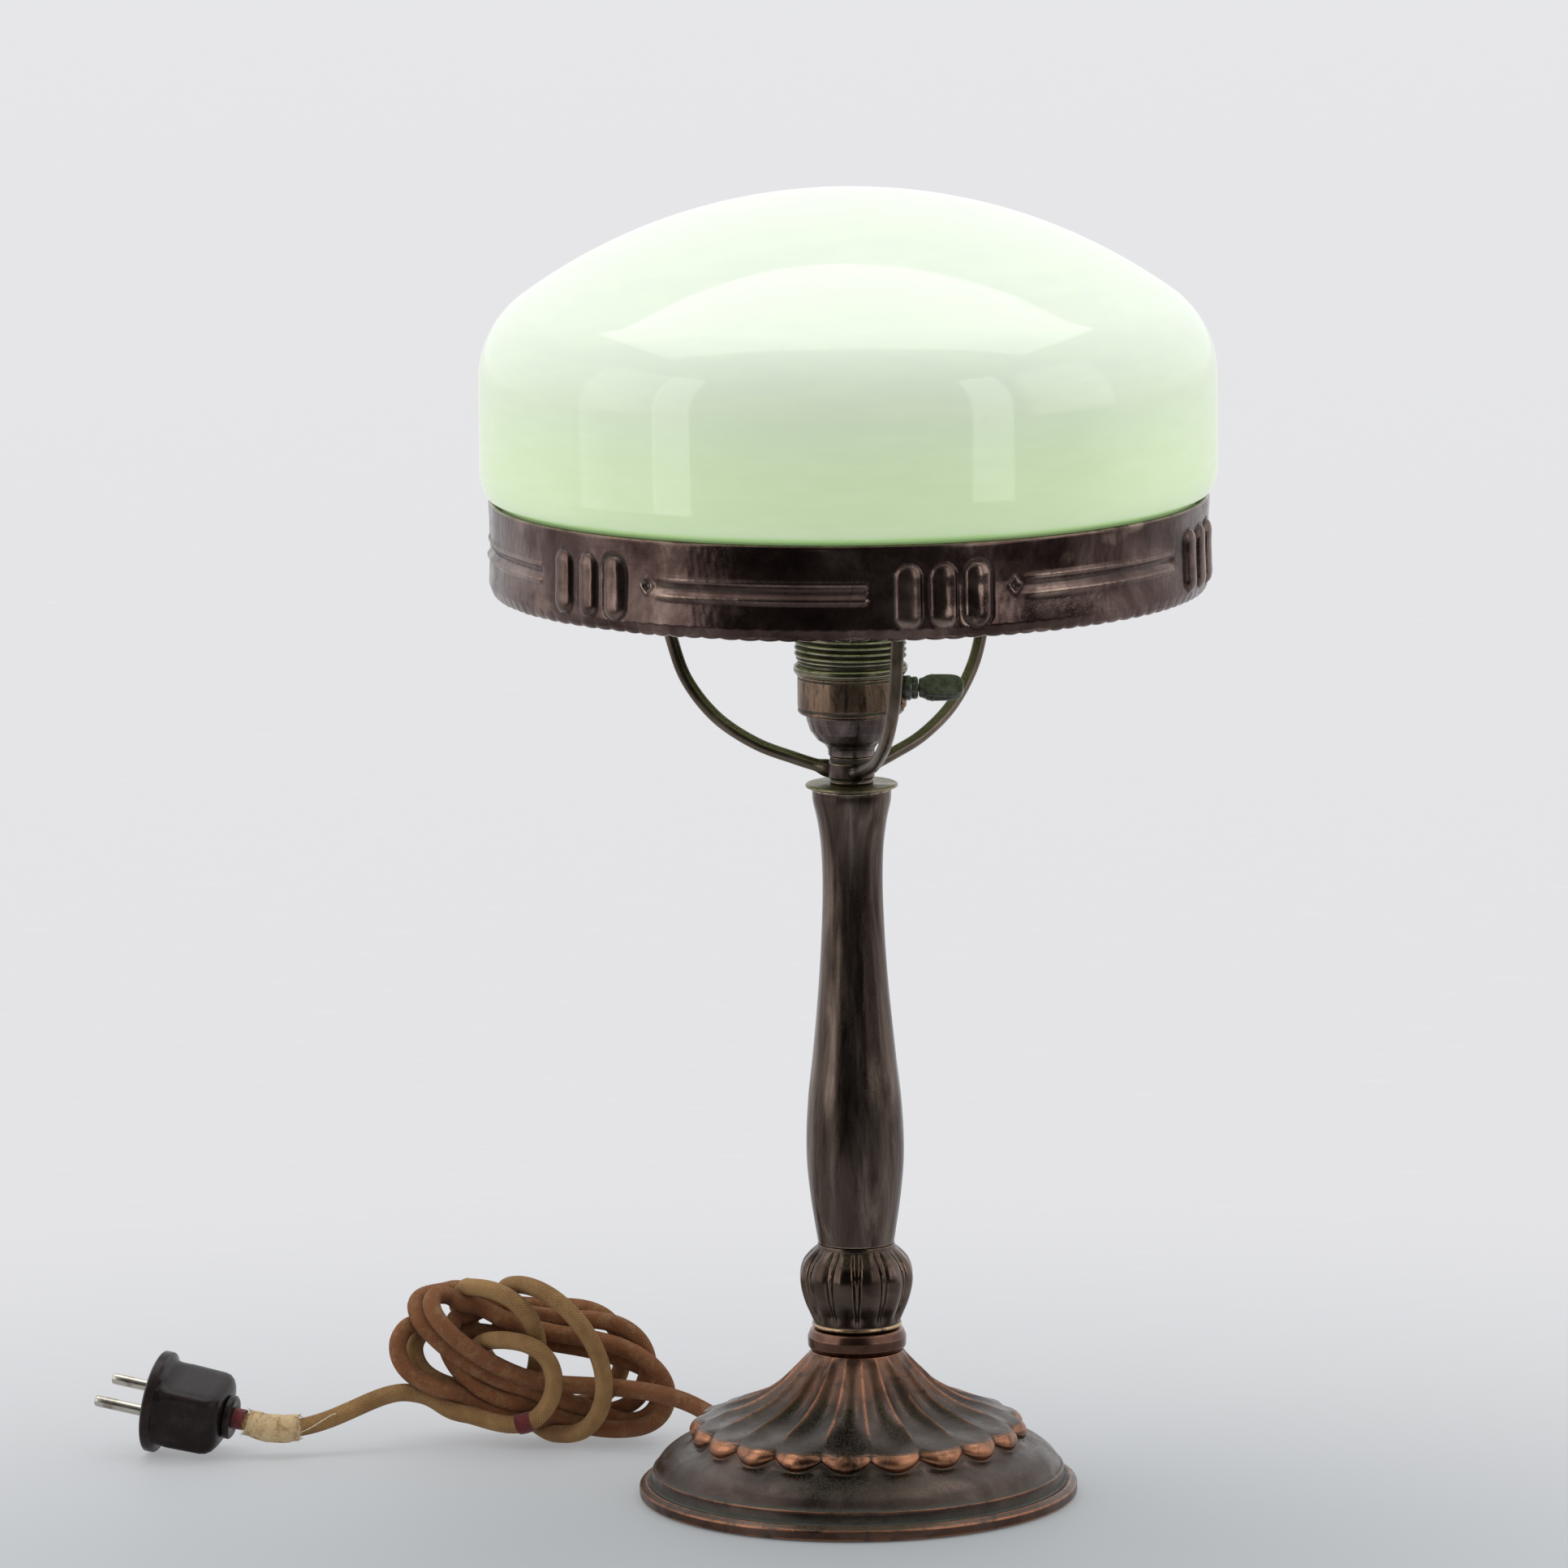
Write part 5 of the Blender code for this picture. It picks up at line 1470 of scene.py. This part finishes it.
class LAMP_OT_holder(bpy.types.Operator):
    """Spin the lamp holder: its cap, its body, its bead ring and its threaded skirt"""
    bl_idname = "lamp.holder"
    bl_label = "Lamp holder"

    CAP = ((5.15, 258.2, 0), (7.9, 258.2, 0.3), (8.0, 260.4, 0.8), (9.0, 261.9, 0.8),
           (11.6, 263.6, 2.4), (14.0, 266.8, 2.6), (15.1, 270.3, 1.4), (15.5, 272.6, 0.3),
           (14.0, 272.6, 0.2), (13.2, 269.4, 1.5), (10.8, 265.6, 1.5), (6.8, 263.4, 0.5),
           (5.15, 261.8, 0.3))
    BODY = ((15.2, 272.7, 0.3), (17.4, 272.7, 0.8), (18.2, 273.6, 0.4), (18.0, 274.6, 0.3),
            (18.2, 275.4, 0.3), (18.2, 284.7, 0.3), (18.0, 285.3, 0.2), (18.4, 285.9, 0.3),
            (18.2, 286.4, 0.2), (17.2, 286.4, 0.2), (17.0, 274.4, 0.4), (15.2, 273.9, 0.2))
    RING = ((17.4, 286.5, 0.2), (18.9, 286.5, 0.7), (19.5, 287.6, 0.9), (19.4, 289.2, 0.8),
            (18.6, 289.8, 0.4), (17.4, 289.8, 0.2))

    def execute(self, context):
        look = context.scene.lamp_holder
        purple = aged_metal("cap bronze", (0.040, 0.027, 0.027), (0.105, 0.078, 0.075),
                            (0.21, 0.165, 0.155), (0.40, 0.31, 0.26), 0.18, 0.36,
                            streak=(4.0, 4.0, 0.6))
        cap = turned("holder_dome", rounded(self.CAP, closed=True), 128, True)
        set_piece(cap, purple, LAMP, ("holder_cap",))
        brushed = aged_metal("brushed body", (0.020, 0.013, 0.010), tuple(look.body_colour),
                             (0.165, 0.112, 0.080), (0.34, 0.225, 0.15), 0.22, 0.38,
                             streak=(4.0, 4.0, 0.9), dents=0.0004)
        body = turned("holder_shell", rounded(self.BODY, closed=True), 144, True)
        self.pierce(body)
        set_piece(body, brushed, LAMP, ("holder_body",))
        threaded = aged_metal("threaded skirt", (0.036, 0.028, 0.018), tuple(look.skirt_colour),
                              (0.23, 0.215, 0.155), (0.42, 0.37, 0.27), 0.20, 0.36,
                              grime=(0.022, 0.017, 0.010))
        ring = turned("holder_bead", rounded(self.RING, closed=True, arc=6), 144, True)
        set_piece(ring, threaded, LAMP, ("holder_ring",))
        set_piece(self.skirt(look), threaded, LAMP, ("holder_skirt",), 60)
        self.boss(brushed)
        return {"FINISHED"}

    def pierce(self, body):
        line = [(0.0140, 0, 0.281), (0.0180, 0, 0.281), (0.0220, 0, 0.281)]
        carve(body, tube("key_drill", line, 4.2 * MM, 40, (0, 0, 1)))

    def skirt(self, look):
        count = 160
        angles = np.arange(count) / count * FULL_TURN
        high = np.arange(289.9, 307.05, 0.17)
        pitch = look.thread_pitch / MM
        turn = (high / pitch + angles[:, None] / FULL_TURN) % 1
        crest = (0.5 - 0.5 * np.cos(turn * FULL_TURN)) ** 0.7
        part = eased(high, 290.6, 292.4) * eased(-high, -306.5, -305.4)
        radius = 18.25 + 0.95 * crest * part - 0.35 * (1 - part)
        outside = np.stack([radius, np.broadcast_to(high, radius.shape)], axis=2) * MM
        inside = mm([(18.3, 307.3), (17.7, 307.3), (17.4, 306.8), (17.4, 290.2), (17.7, 289.9)])
        columns = np.concatenate([outside, np.broadcast_to(inside, (count, 5, 2))], axis=1)
        return grid_object("threaded_skirt", turned_columns(columns, angles), True, True)

    def boss(self, finish):
        """A small round stud pressed into the side of the body."""
        place = Matrix.Rotation(math.radians(-13), 4, "Z") @ Matrix.Translation(
            (17.6 * MM, 0, 276.6 * MM)) @ Matrix.Rotation(math.radians(90), 4, "Y")
        stud = turned("holder_stud", rounded([(0, 1.7, 0), (1.3, 1.6, 0.5), (2.1, 1.0, 0.5),
                                              (2.2, 0.0, 0), (0, 0.0, 0)]), 40, place=place)
        set_piece(stud, finish, LAMP, ())


# Key

class LampKeyProps(bpy.types.PropertyGroup):
    paddle_length: FloatProperty(
        name="Paddle length", description="How far the key's paddle reaches from the axis",
        default=0.0385, unit="LENGTH")
    face_colour: FloatVectorProperty(
        name="Face", description="Tone of the flat faces of the key", subtype="COLOR",
        default=(0.125, 0.125, 0.112), min=0.0, max=1.0)


class LAMP_OT_key(bpy.types.Operator):
    """File the paddle key and its bushing"""
    bl_idname = "lamp.key"
    bl_label = "Switch key"

    HEIGHT = 281.0
    TURN = math.radians(45)
    DISH = 0.16
    # distance from the axis, half width, half thickness
    PADDLE = ((23.2, 2.8, 2.8), (23.6, 3.4, 3.1), (25.2, 3.8, 3.0), (25.9, 4.3, 2.5),
              (27.2, 4.6, 2.2), (30.0, 4.75, 2.05), (33.6, 4.7, 1.95), (35.8, 4.4, 1.85),
              (37.2, 3.7, 1.7), (38.1, 2.5, 1.4), (38.5, 1.1, 0.9))

    def execute(self, context):
        look = context.scene.lamp_key
        axis = Matrix.Translation((0, 0, self.HEIGHT * MM))
        along = axis @ Matrix.Rotation(math.radians(90), 4, "Y")
        dark = plain_finish("key bronze", tuple(look.face_colour), (0.050, 0.045, 0.037), 0.20,
                            240, 0.00002, Metallic=0.55)
        bushing = turned("key_collar", rounded([
            (2.1, 17.6, 0.1), (4.1, 17.6, 0), (4.3, 18.6, 0.4), (4.3, 20.2, 0.4), (3.7, 20.8, 0.3),
            (3.9, 21.4, 0.3), (3.8, 22.6, 0.4), (3.2, 23.0, 0.3), (2.1, 23.0, 0.1)], closed=True),
            64, True, place=along)
        set_piece(bushing, dark, LAMP, ("key_bushing",))
        turn = axis @ Matrix.Rotation(self.TURN, 4, "X")
        reach = look.paddle_length / 0.0385
        rings = []
        for x, wide, thick in smooth_line(self.PADDLE, 5):
            power = 2.0 + 3.4 * eased(x, 24, 28) - 1.4 * eased(x, 36, 38.5)
            ring = squared_ring(x * reach, wide, thick, power, 64)
            dish = eased(x, 26.6, 28.6) * eased(-x, -37.2, -36.0)
            flat = eased(-np.abs(ring[:, 1]), -wide + 0.7, -wide + 1.5)
            ring[:, 2] -= np.sign(ring[:, 2]) * self.DISH * dish * flat
            rings.append(ring * MM)
        paddle = grid_object("key_paddle", capped(np.array(rings)), False, True, turn)
        set_piece(paddle, dark, SWITCH, ("switch_key",), 40)
        return {"FINISHED"}


# Bulb

class LampBulbProps(bpy.types.PropertyGroup):
    glass_tint: FloatVectorProperty(
        name="Glass", description="Tint of the clear glass", subtype="COLOR",
        default=(0.96, 0.975, 0.96), min=0.0, max=1.0)
    cap_pitch: FloatProperty(
        name="Cap pitch", description="Pitch of the screw cap's thread", default=0.003629,
        unit="LENGTH")


class LAMP_OT_bulb(bpy.types.Operator):
    """Blow the clear bulb and roll its screw cap, with its mount and coiled filament"""
    bl_idname = "lamp.bulb"
    bl_label = "Bulb"

    BALL, BALL_HEIGHT = 30.0, 368.0
    NECK = ((20.2, 341.0), (17.4, 335.4), (15.2, 330.0), (13.2, 323.6), (11.9, 318.2),
            (11.6, 312.0), (11.6, 306.0))
    POST = ((1.4, 336.5), (5.5, 346), (12.4, 358), (15.0, 362.9))
    COILS, COIL_RADIUS = 62, 0.34

    def execute(self, context):
        look = context.scene.lamp_bulb
        brass = shared_brass()
        set_piece(self.envelope(), self.clear_glass(look), BULB, ("bulb_glass",), 60)
        set_piece(self.cap(look), brass, BULB, ("bulb_cap",), 60)
        black = plain_finish("black glass", (0.012, 0.010, 0.014), (0.04, 0.03, 0.05), 0.12, 300)
        foot = turned("cap_insulator", rounded([(0, 290.95, 0), (5.2, 290.95, 0.4),
                                                (8.6, 292.0, 0.8), (12.2, 293.0, 0.4),
                                                (12.2, 293.35, 0), (0, 293.35, 0)]), 72)
        set_piece(foot, black, BULB, ("bulb_insulator",))
        tip = turned("cap_contact", rounded([(0, 289.9, 0), (3.4, 290.0, 0.6), (4.6, 290.5, 0.3),
                                             (4.6, 290.9, 0.1), (0, 290.9, 0)]), 56)
        set_piece(tip, brass, BULB_TIP, ("bulb_contact",))
        set_piece(self.mount(), self.clear_glass(look, "mount glass"), BULB,
                  ("bulb_mount",), 60)
        set_piece(self.filament(), plain_metal("tungsten", (0.36, 0.34, 0.32), 0.35,
                                               (0.16, 0.15, 0.14)), BULB,
                  ("filament",), 180)
        return {"FINISHED"}

    def envelope(self):
        join = math.asin((self.NECK[0][1] - self.BALL_HEIGHT) / self.BALL)
        tilt = np.linspace(math.pi / 2, join, 40)[:-1]
        ball = np.stack([self.BALL * np.cos(tilt), self.BALL_HEIGHT + self.BALL * np.sin(tilt)],
                        axis=1)
        outside = np.vstack([ball, smooth_line(self.NECK, 5)])
        way = np.gradient(outside, axis=0)
        way /= np.linalg.norm(way, axis=1)[:, None]
        inside = outside + 0.6 * np.stack([way[:, 1], -way[:, 0]], axis=1)
        inside[:, 0] = np.maximum(inside[:, 0], 0)
        inside[0] = (0, self.BALL_HEIGHT + self.BALL - 0.6)
        return turned("bulb_envelope", np.vstack([outside, inside[::-1]]) * MM, 112)

    def cap(self, look):
        count = 112
        angles = np.arange(count) / count * FULL_TURN
        high = np.arange(294.0, 317.6, 0.3)
        turn = (high / (look.cap_pitch / MM) + angles[:, None] / FULL_TURN) % 1
        part = eased(high, 295, 297) * eased(-high, -314.6, -312.6)
        radius = 12.55 + 0.55 * np.cos(turn * FULL_TURN) * part + 0.35 * (1 - part) \
            * eased(high, 312, 315)
        outside = np.stack([radius, np.broadcast_to(high, radius.shape)], axis=2) * MM
        top = mm([(12.9, 318.0), (12.3, 318.0), (12.0, 317.0), (11.9, 296.0), (11.8, 294.4),
                  (11.9, 293.6), (12.3, 293.5)])
        columns = np.concatenate([outside, np.broadcast_to(top, (count, len(top), 2))], axis=1)
        return grid_object("screw_cap", turned_columns(columns, angles), True, True)

    def mount(self):
        outline = rounded([(0, 338, 0), (2.2, 337.8, 0.8), (2.4, 334, 0.6), (1.7, 328, 1),
                           (2.0, 318, 1), (4.6, 310, 2), (9.2, 304.6, 1), (9.2, 304, 0.2),
                           (0, 304, 0)])
        return turned("glass_mount", outline, 56)

    def filament(self):
        turns = np.linspace(0, 1, 1200)
        span = 15 - 30 * turns
        angle = turns * self.COILS * FULL_TURN
        sag = 364.6 - 1.8 * (span / 15) ** 2
        line = np.stack([span, self.COIL_RADIUS * np.cos(angle),
                         sag + self.COIL_RADIUS * np.sin(angle)], axis=1)
        coil = tube("coiled_filament", line * MM, 0.09 * MM, 5)
        posts = bmesh.new()
        posts.from_mesh(coil.data)
        for side in (1, -1):
            run = smooth_line(mm([(side * out, 0, up) for out, up in self.POST]), 6)
            join_tube(posts, tube_points(run, 0.28 * MM, 8, (0, 1, 0)))
        bmesh.ops.recalc_face_normals(posts, faces=posts.faces)
        posts.to_mesh(coil.data)
        posts.free()
        return coil

    def clear_glass(self, look, name="clear glass"):
        paint = Finish(name, tuple(look.glass_tint), 0.02, Transmission_Weight=1.0, IOR=1.46)
        smear = paint.between(paint.noise(60, 5, 0.7), 0.5, 0.8, 0.01, 0.06)
        paint.drive("Roughness", smear)
        paint.bump(paint.noise(30, 2, 0.5), 0.0001, 0.4)
        return paint.material


# Inside

class LampInsideProps(bpy.types.PropertyGroup):
    iron_colour: FloatVectorProperty(
        name="Iron", description="Tone of the cast iron weight", subtype="COLOR",
        default=(0.060, 0.052, 0.048), min=0.0, max=1.0)
    porcelain_colour: FloatVectorProperty(
        name="Porcelain", description="Colour of the porcelain block", subtype="COLOR",
        default=(0.72, 0.69, 0.62), min=0.0, max=1.0)
    felt_colour: FloatVectorProperty(
        name="Felt", description="Colour of the felt under the foot", subtype="COLOR",
        default=(0.018, 0.075, 0.036), min=0.0, max=1.0)


class LAMP_OT_inside(bpy.types.Operator):
    """Finish the parts that keep their CAD shape: the weight, plate, felt, rod and wiring"""
    bl_idname = "lamp.inside"
    bl_label = "Inside parts"

    def execute(self, context):
        look = context.scene.lamp_inside
        iron = aged_metal("cast iron", (0.020, 0.016, 0.014), tuple(look.iron_colour),
                          (0.11, 0.085, 0.07), (0.24, 0.20, 0.17), 0.45, 0.70, pits=1.0)
        brass = shared_brass()
        rod = plain_metal("rod brass", (0.42, 0.31, 0.15), 0.34, (0.18, 0.12, 0.06), (1, 1, 8))
        porcelain = plain_finish("glazed porcelain", tuple(look.porcelain_colour),
                                 (0.56, 0.52, 0.44), 0.16, 90, 0.00005)
        felt = plain_finish("green felt", tuple(look.felt_colour), (0.034, 0.10, 0.052), 0.95,
                            1900, 0.0003, Sheen_Weight=0.4)
        rubber = plain_finish("black rubber", (0.020, 0.020, 0.021), (0.035, 0.033, 0.030), 0.6,
                              240)
        nickel = bpy.data.materials["nickel plate"]
        steel = plain_metal("switch steel", (0.40, 0.39, 0.37), 0.36, (0.20, 0.17, 0.14))
        cotton = plain_finish("inner cotton", (0.30, 0.20, 0.10), (0.16, 0.10, 0.05), 0.9, 600)
        finishes = {
            "base_weight": iron, "base_plate": brass, "base_felt": felt, "bottom_washer": brass,
            "bottom_nut": brass, "central_rod": rod, "cord_bushing": rubber,
            "porcelain_block": porcelain, "screw_shell": brass, "centre_contact": brass,
            "terminal_screw_1": brass, "terminal_screw_2": brass, "inner_lead": cotton,
            "switch_cam": steel, "switch_spindle": steel, "key_pin": nickel,
        }
        for node, finish in finishes.items():
            for slot in bpy.data.objects[node].material_slots:
                slot.material = finish
        return {"FINISHED"}


# Panel and start

GROUPS = (
    ("lamp_stage", LampStageProps, LAMP_OT_stage),
    ("lamp_cord", LampCordProps, LAMP_OT_cord),
    ("lamp_plug", LampPlugProps, LAMP_OT_plug),
    ("lamp_foot", LampFootProps, LAMP_OT_foot),
    ("lamp_column", LampColumnProps, LAMP_OT_column),
    ("lamp_gallery", LampGalleryProps, LAMP_OT_gallery),
    ("lamp_shade", LampShadeProps, LAMP_OT_shade),
    ("lamp_holder", LampHolderProps, LAMP_OT_holder),
    ("lamp_key", LampKeyProps, LAMP_OT_key),
    ("lamp_bulb", LampBulbProps, LAMP_OT_bulb),
    ("lamp_inside", LampInsideProps, LAMP_OT_inside),
)


class LAMP_PT_panel(bpy.types.Panel):
    bl_idname = "LAMP_PT_panel"
    bl_label = "Bronze Table Lamp"
    bl_space_type = "VIEW_3D"
    bl_region_type = "UI"
    bl_category = "Lamp"

    def draw(self, context):
        for group, props, operator in GROUPS:
            box = self.layout.box()
            box.operator(operator.bl_idname)
            for name in props.__annotations__:
                box.prop(getattr(context.scene, group), name)


def register():
    for group, props, operator in GROUPS:
        bpy.utils.register_class(props)
        bpy.utils.register_class(operator)
        setattr(bpy.types.Scene, group, PointerProperty(type=props))
    bpy.utils.register_class(LAMP_PT_panel)


def unregister():
    bpy.utils.unregister_class(LAMP_PT_panel)
    for group, props, operator in reversed(GROUPS):
        delattr(bpy.types.Scene, group)
        bpy.utils.unregister_class(operator)
        bpy.utils.unregister_class(props)


def main():
    register()
    bpy.context.scene.view_settings.view_transform = "Standard"
    for group, _, _ in GROUPS:
        getattr(bpy.ops.lamp, group.removeprefix("lamp_"))()


if __name__ == "__main__":
    main()
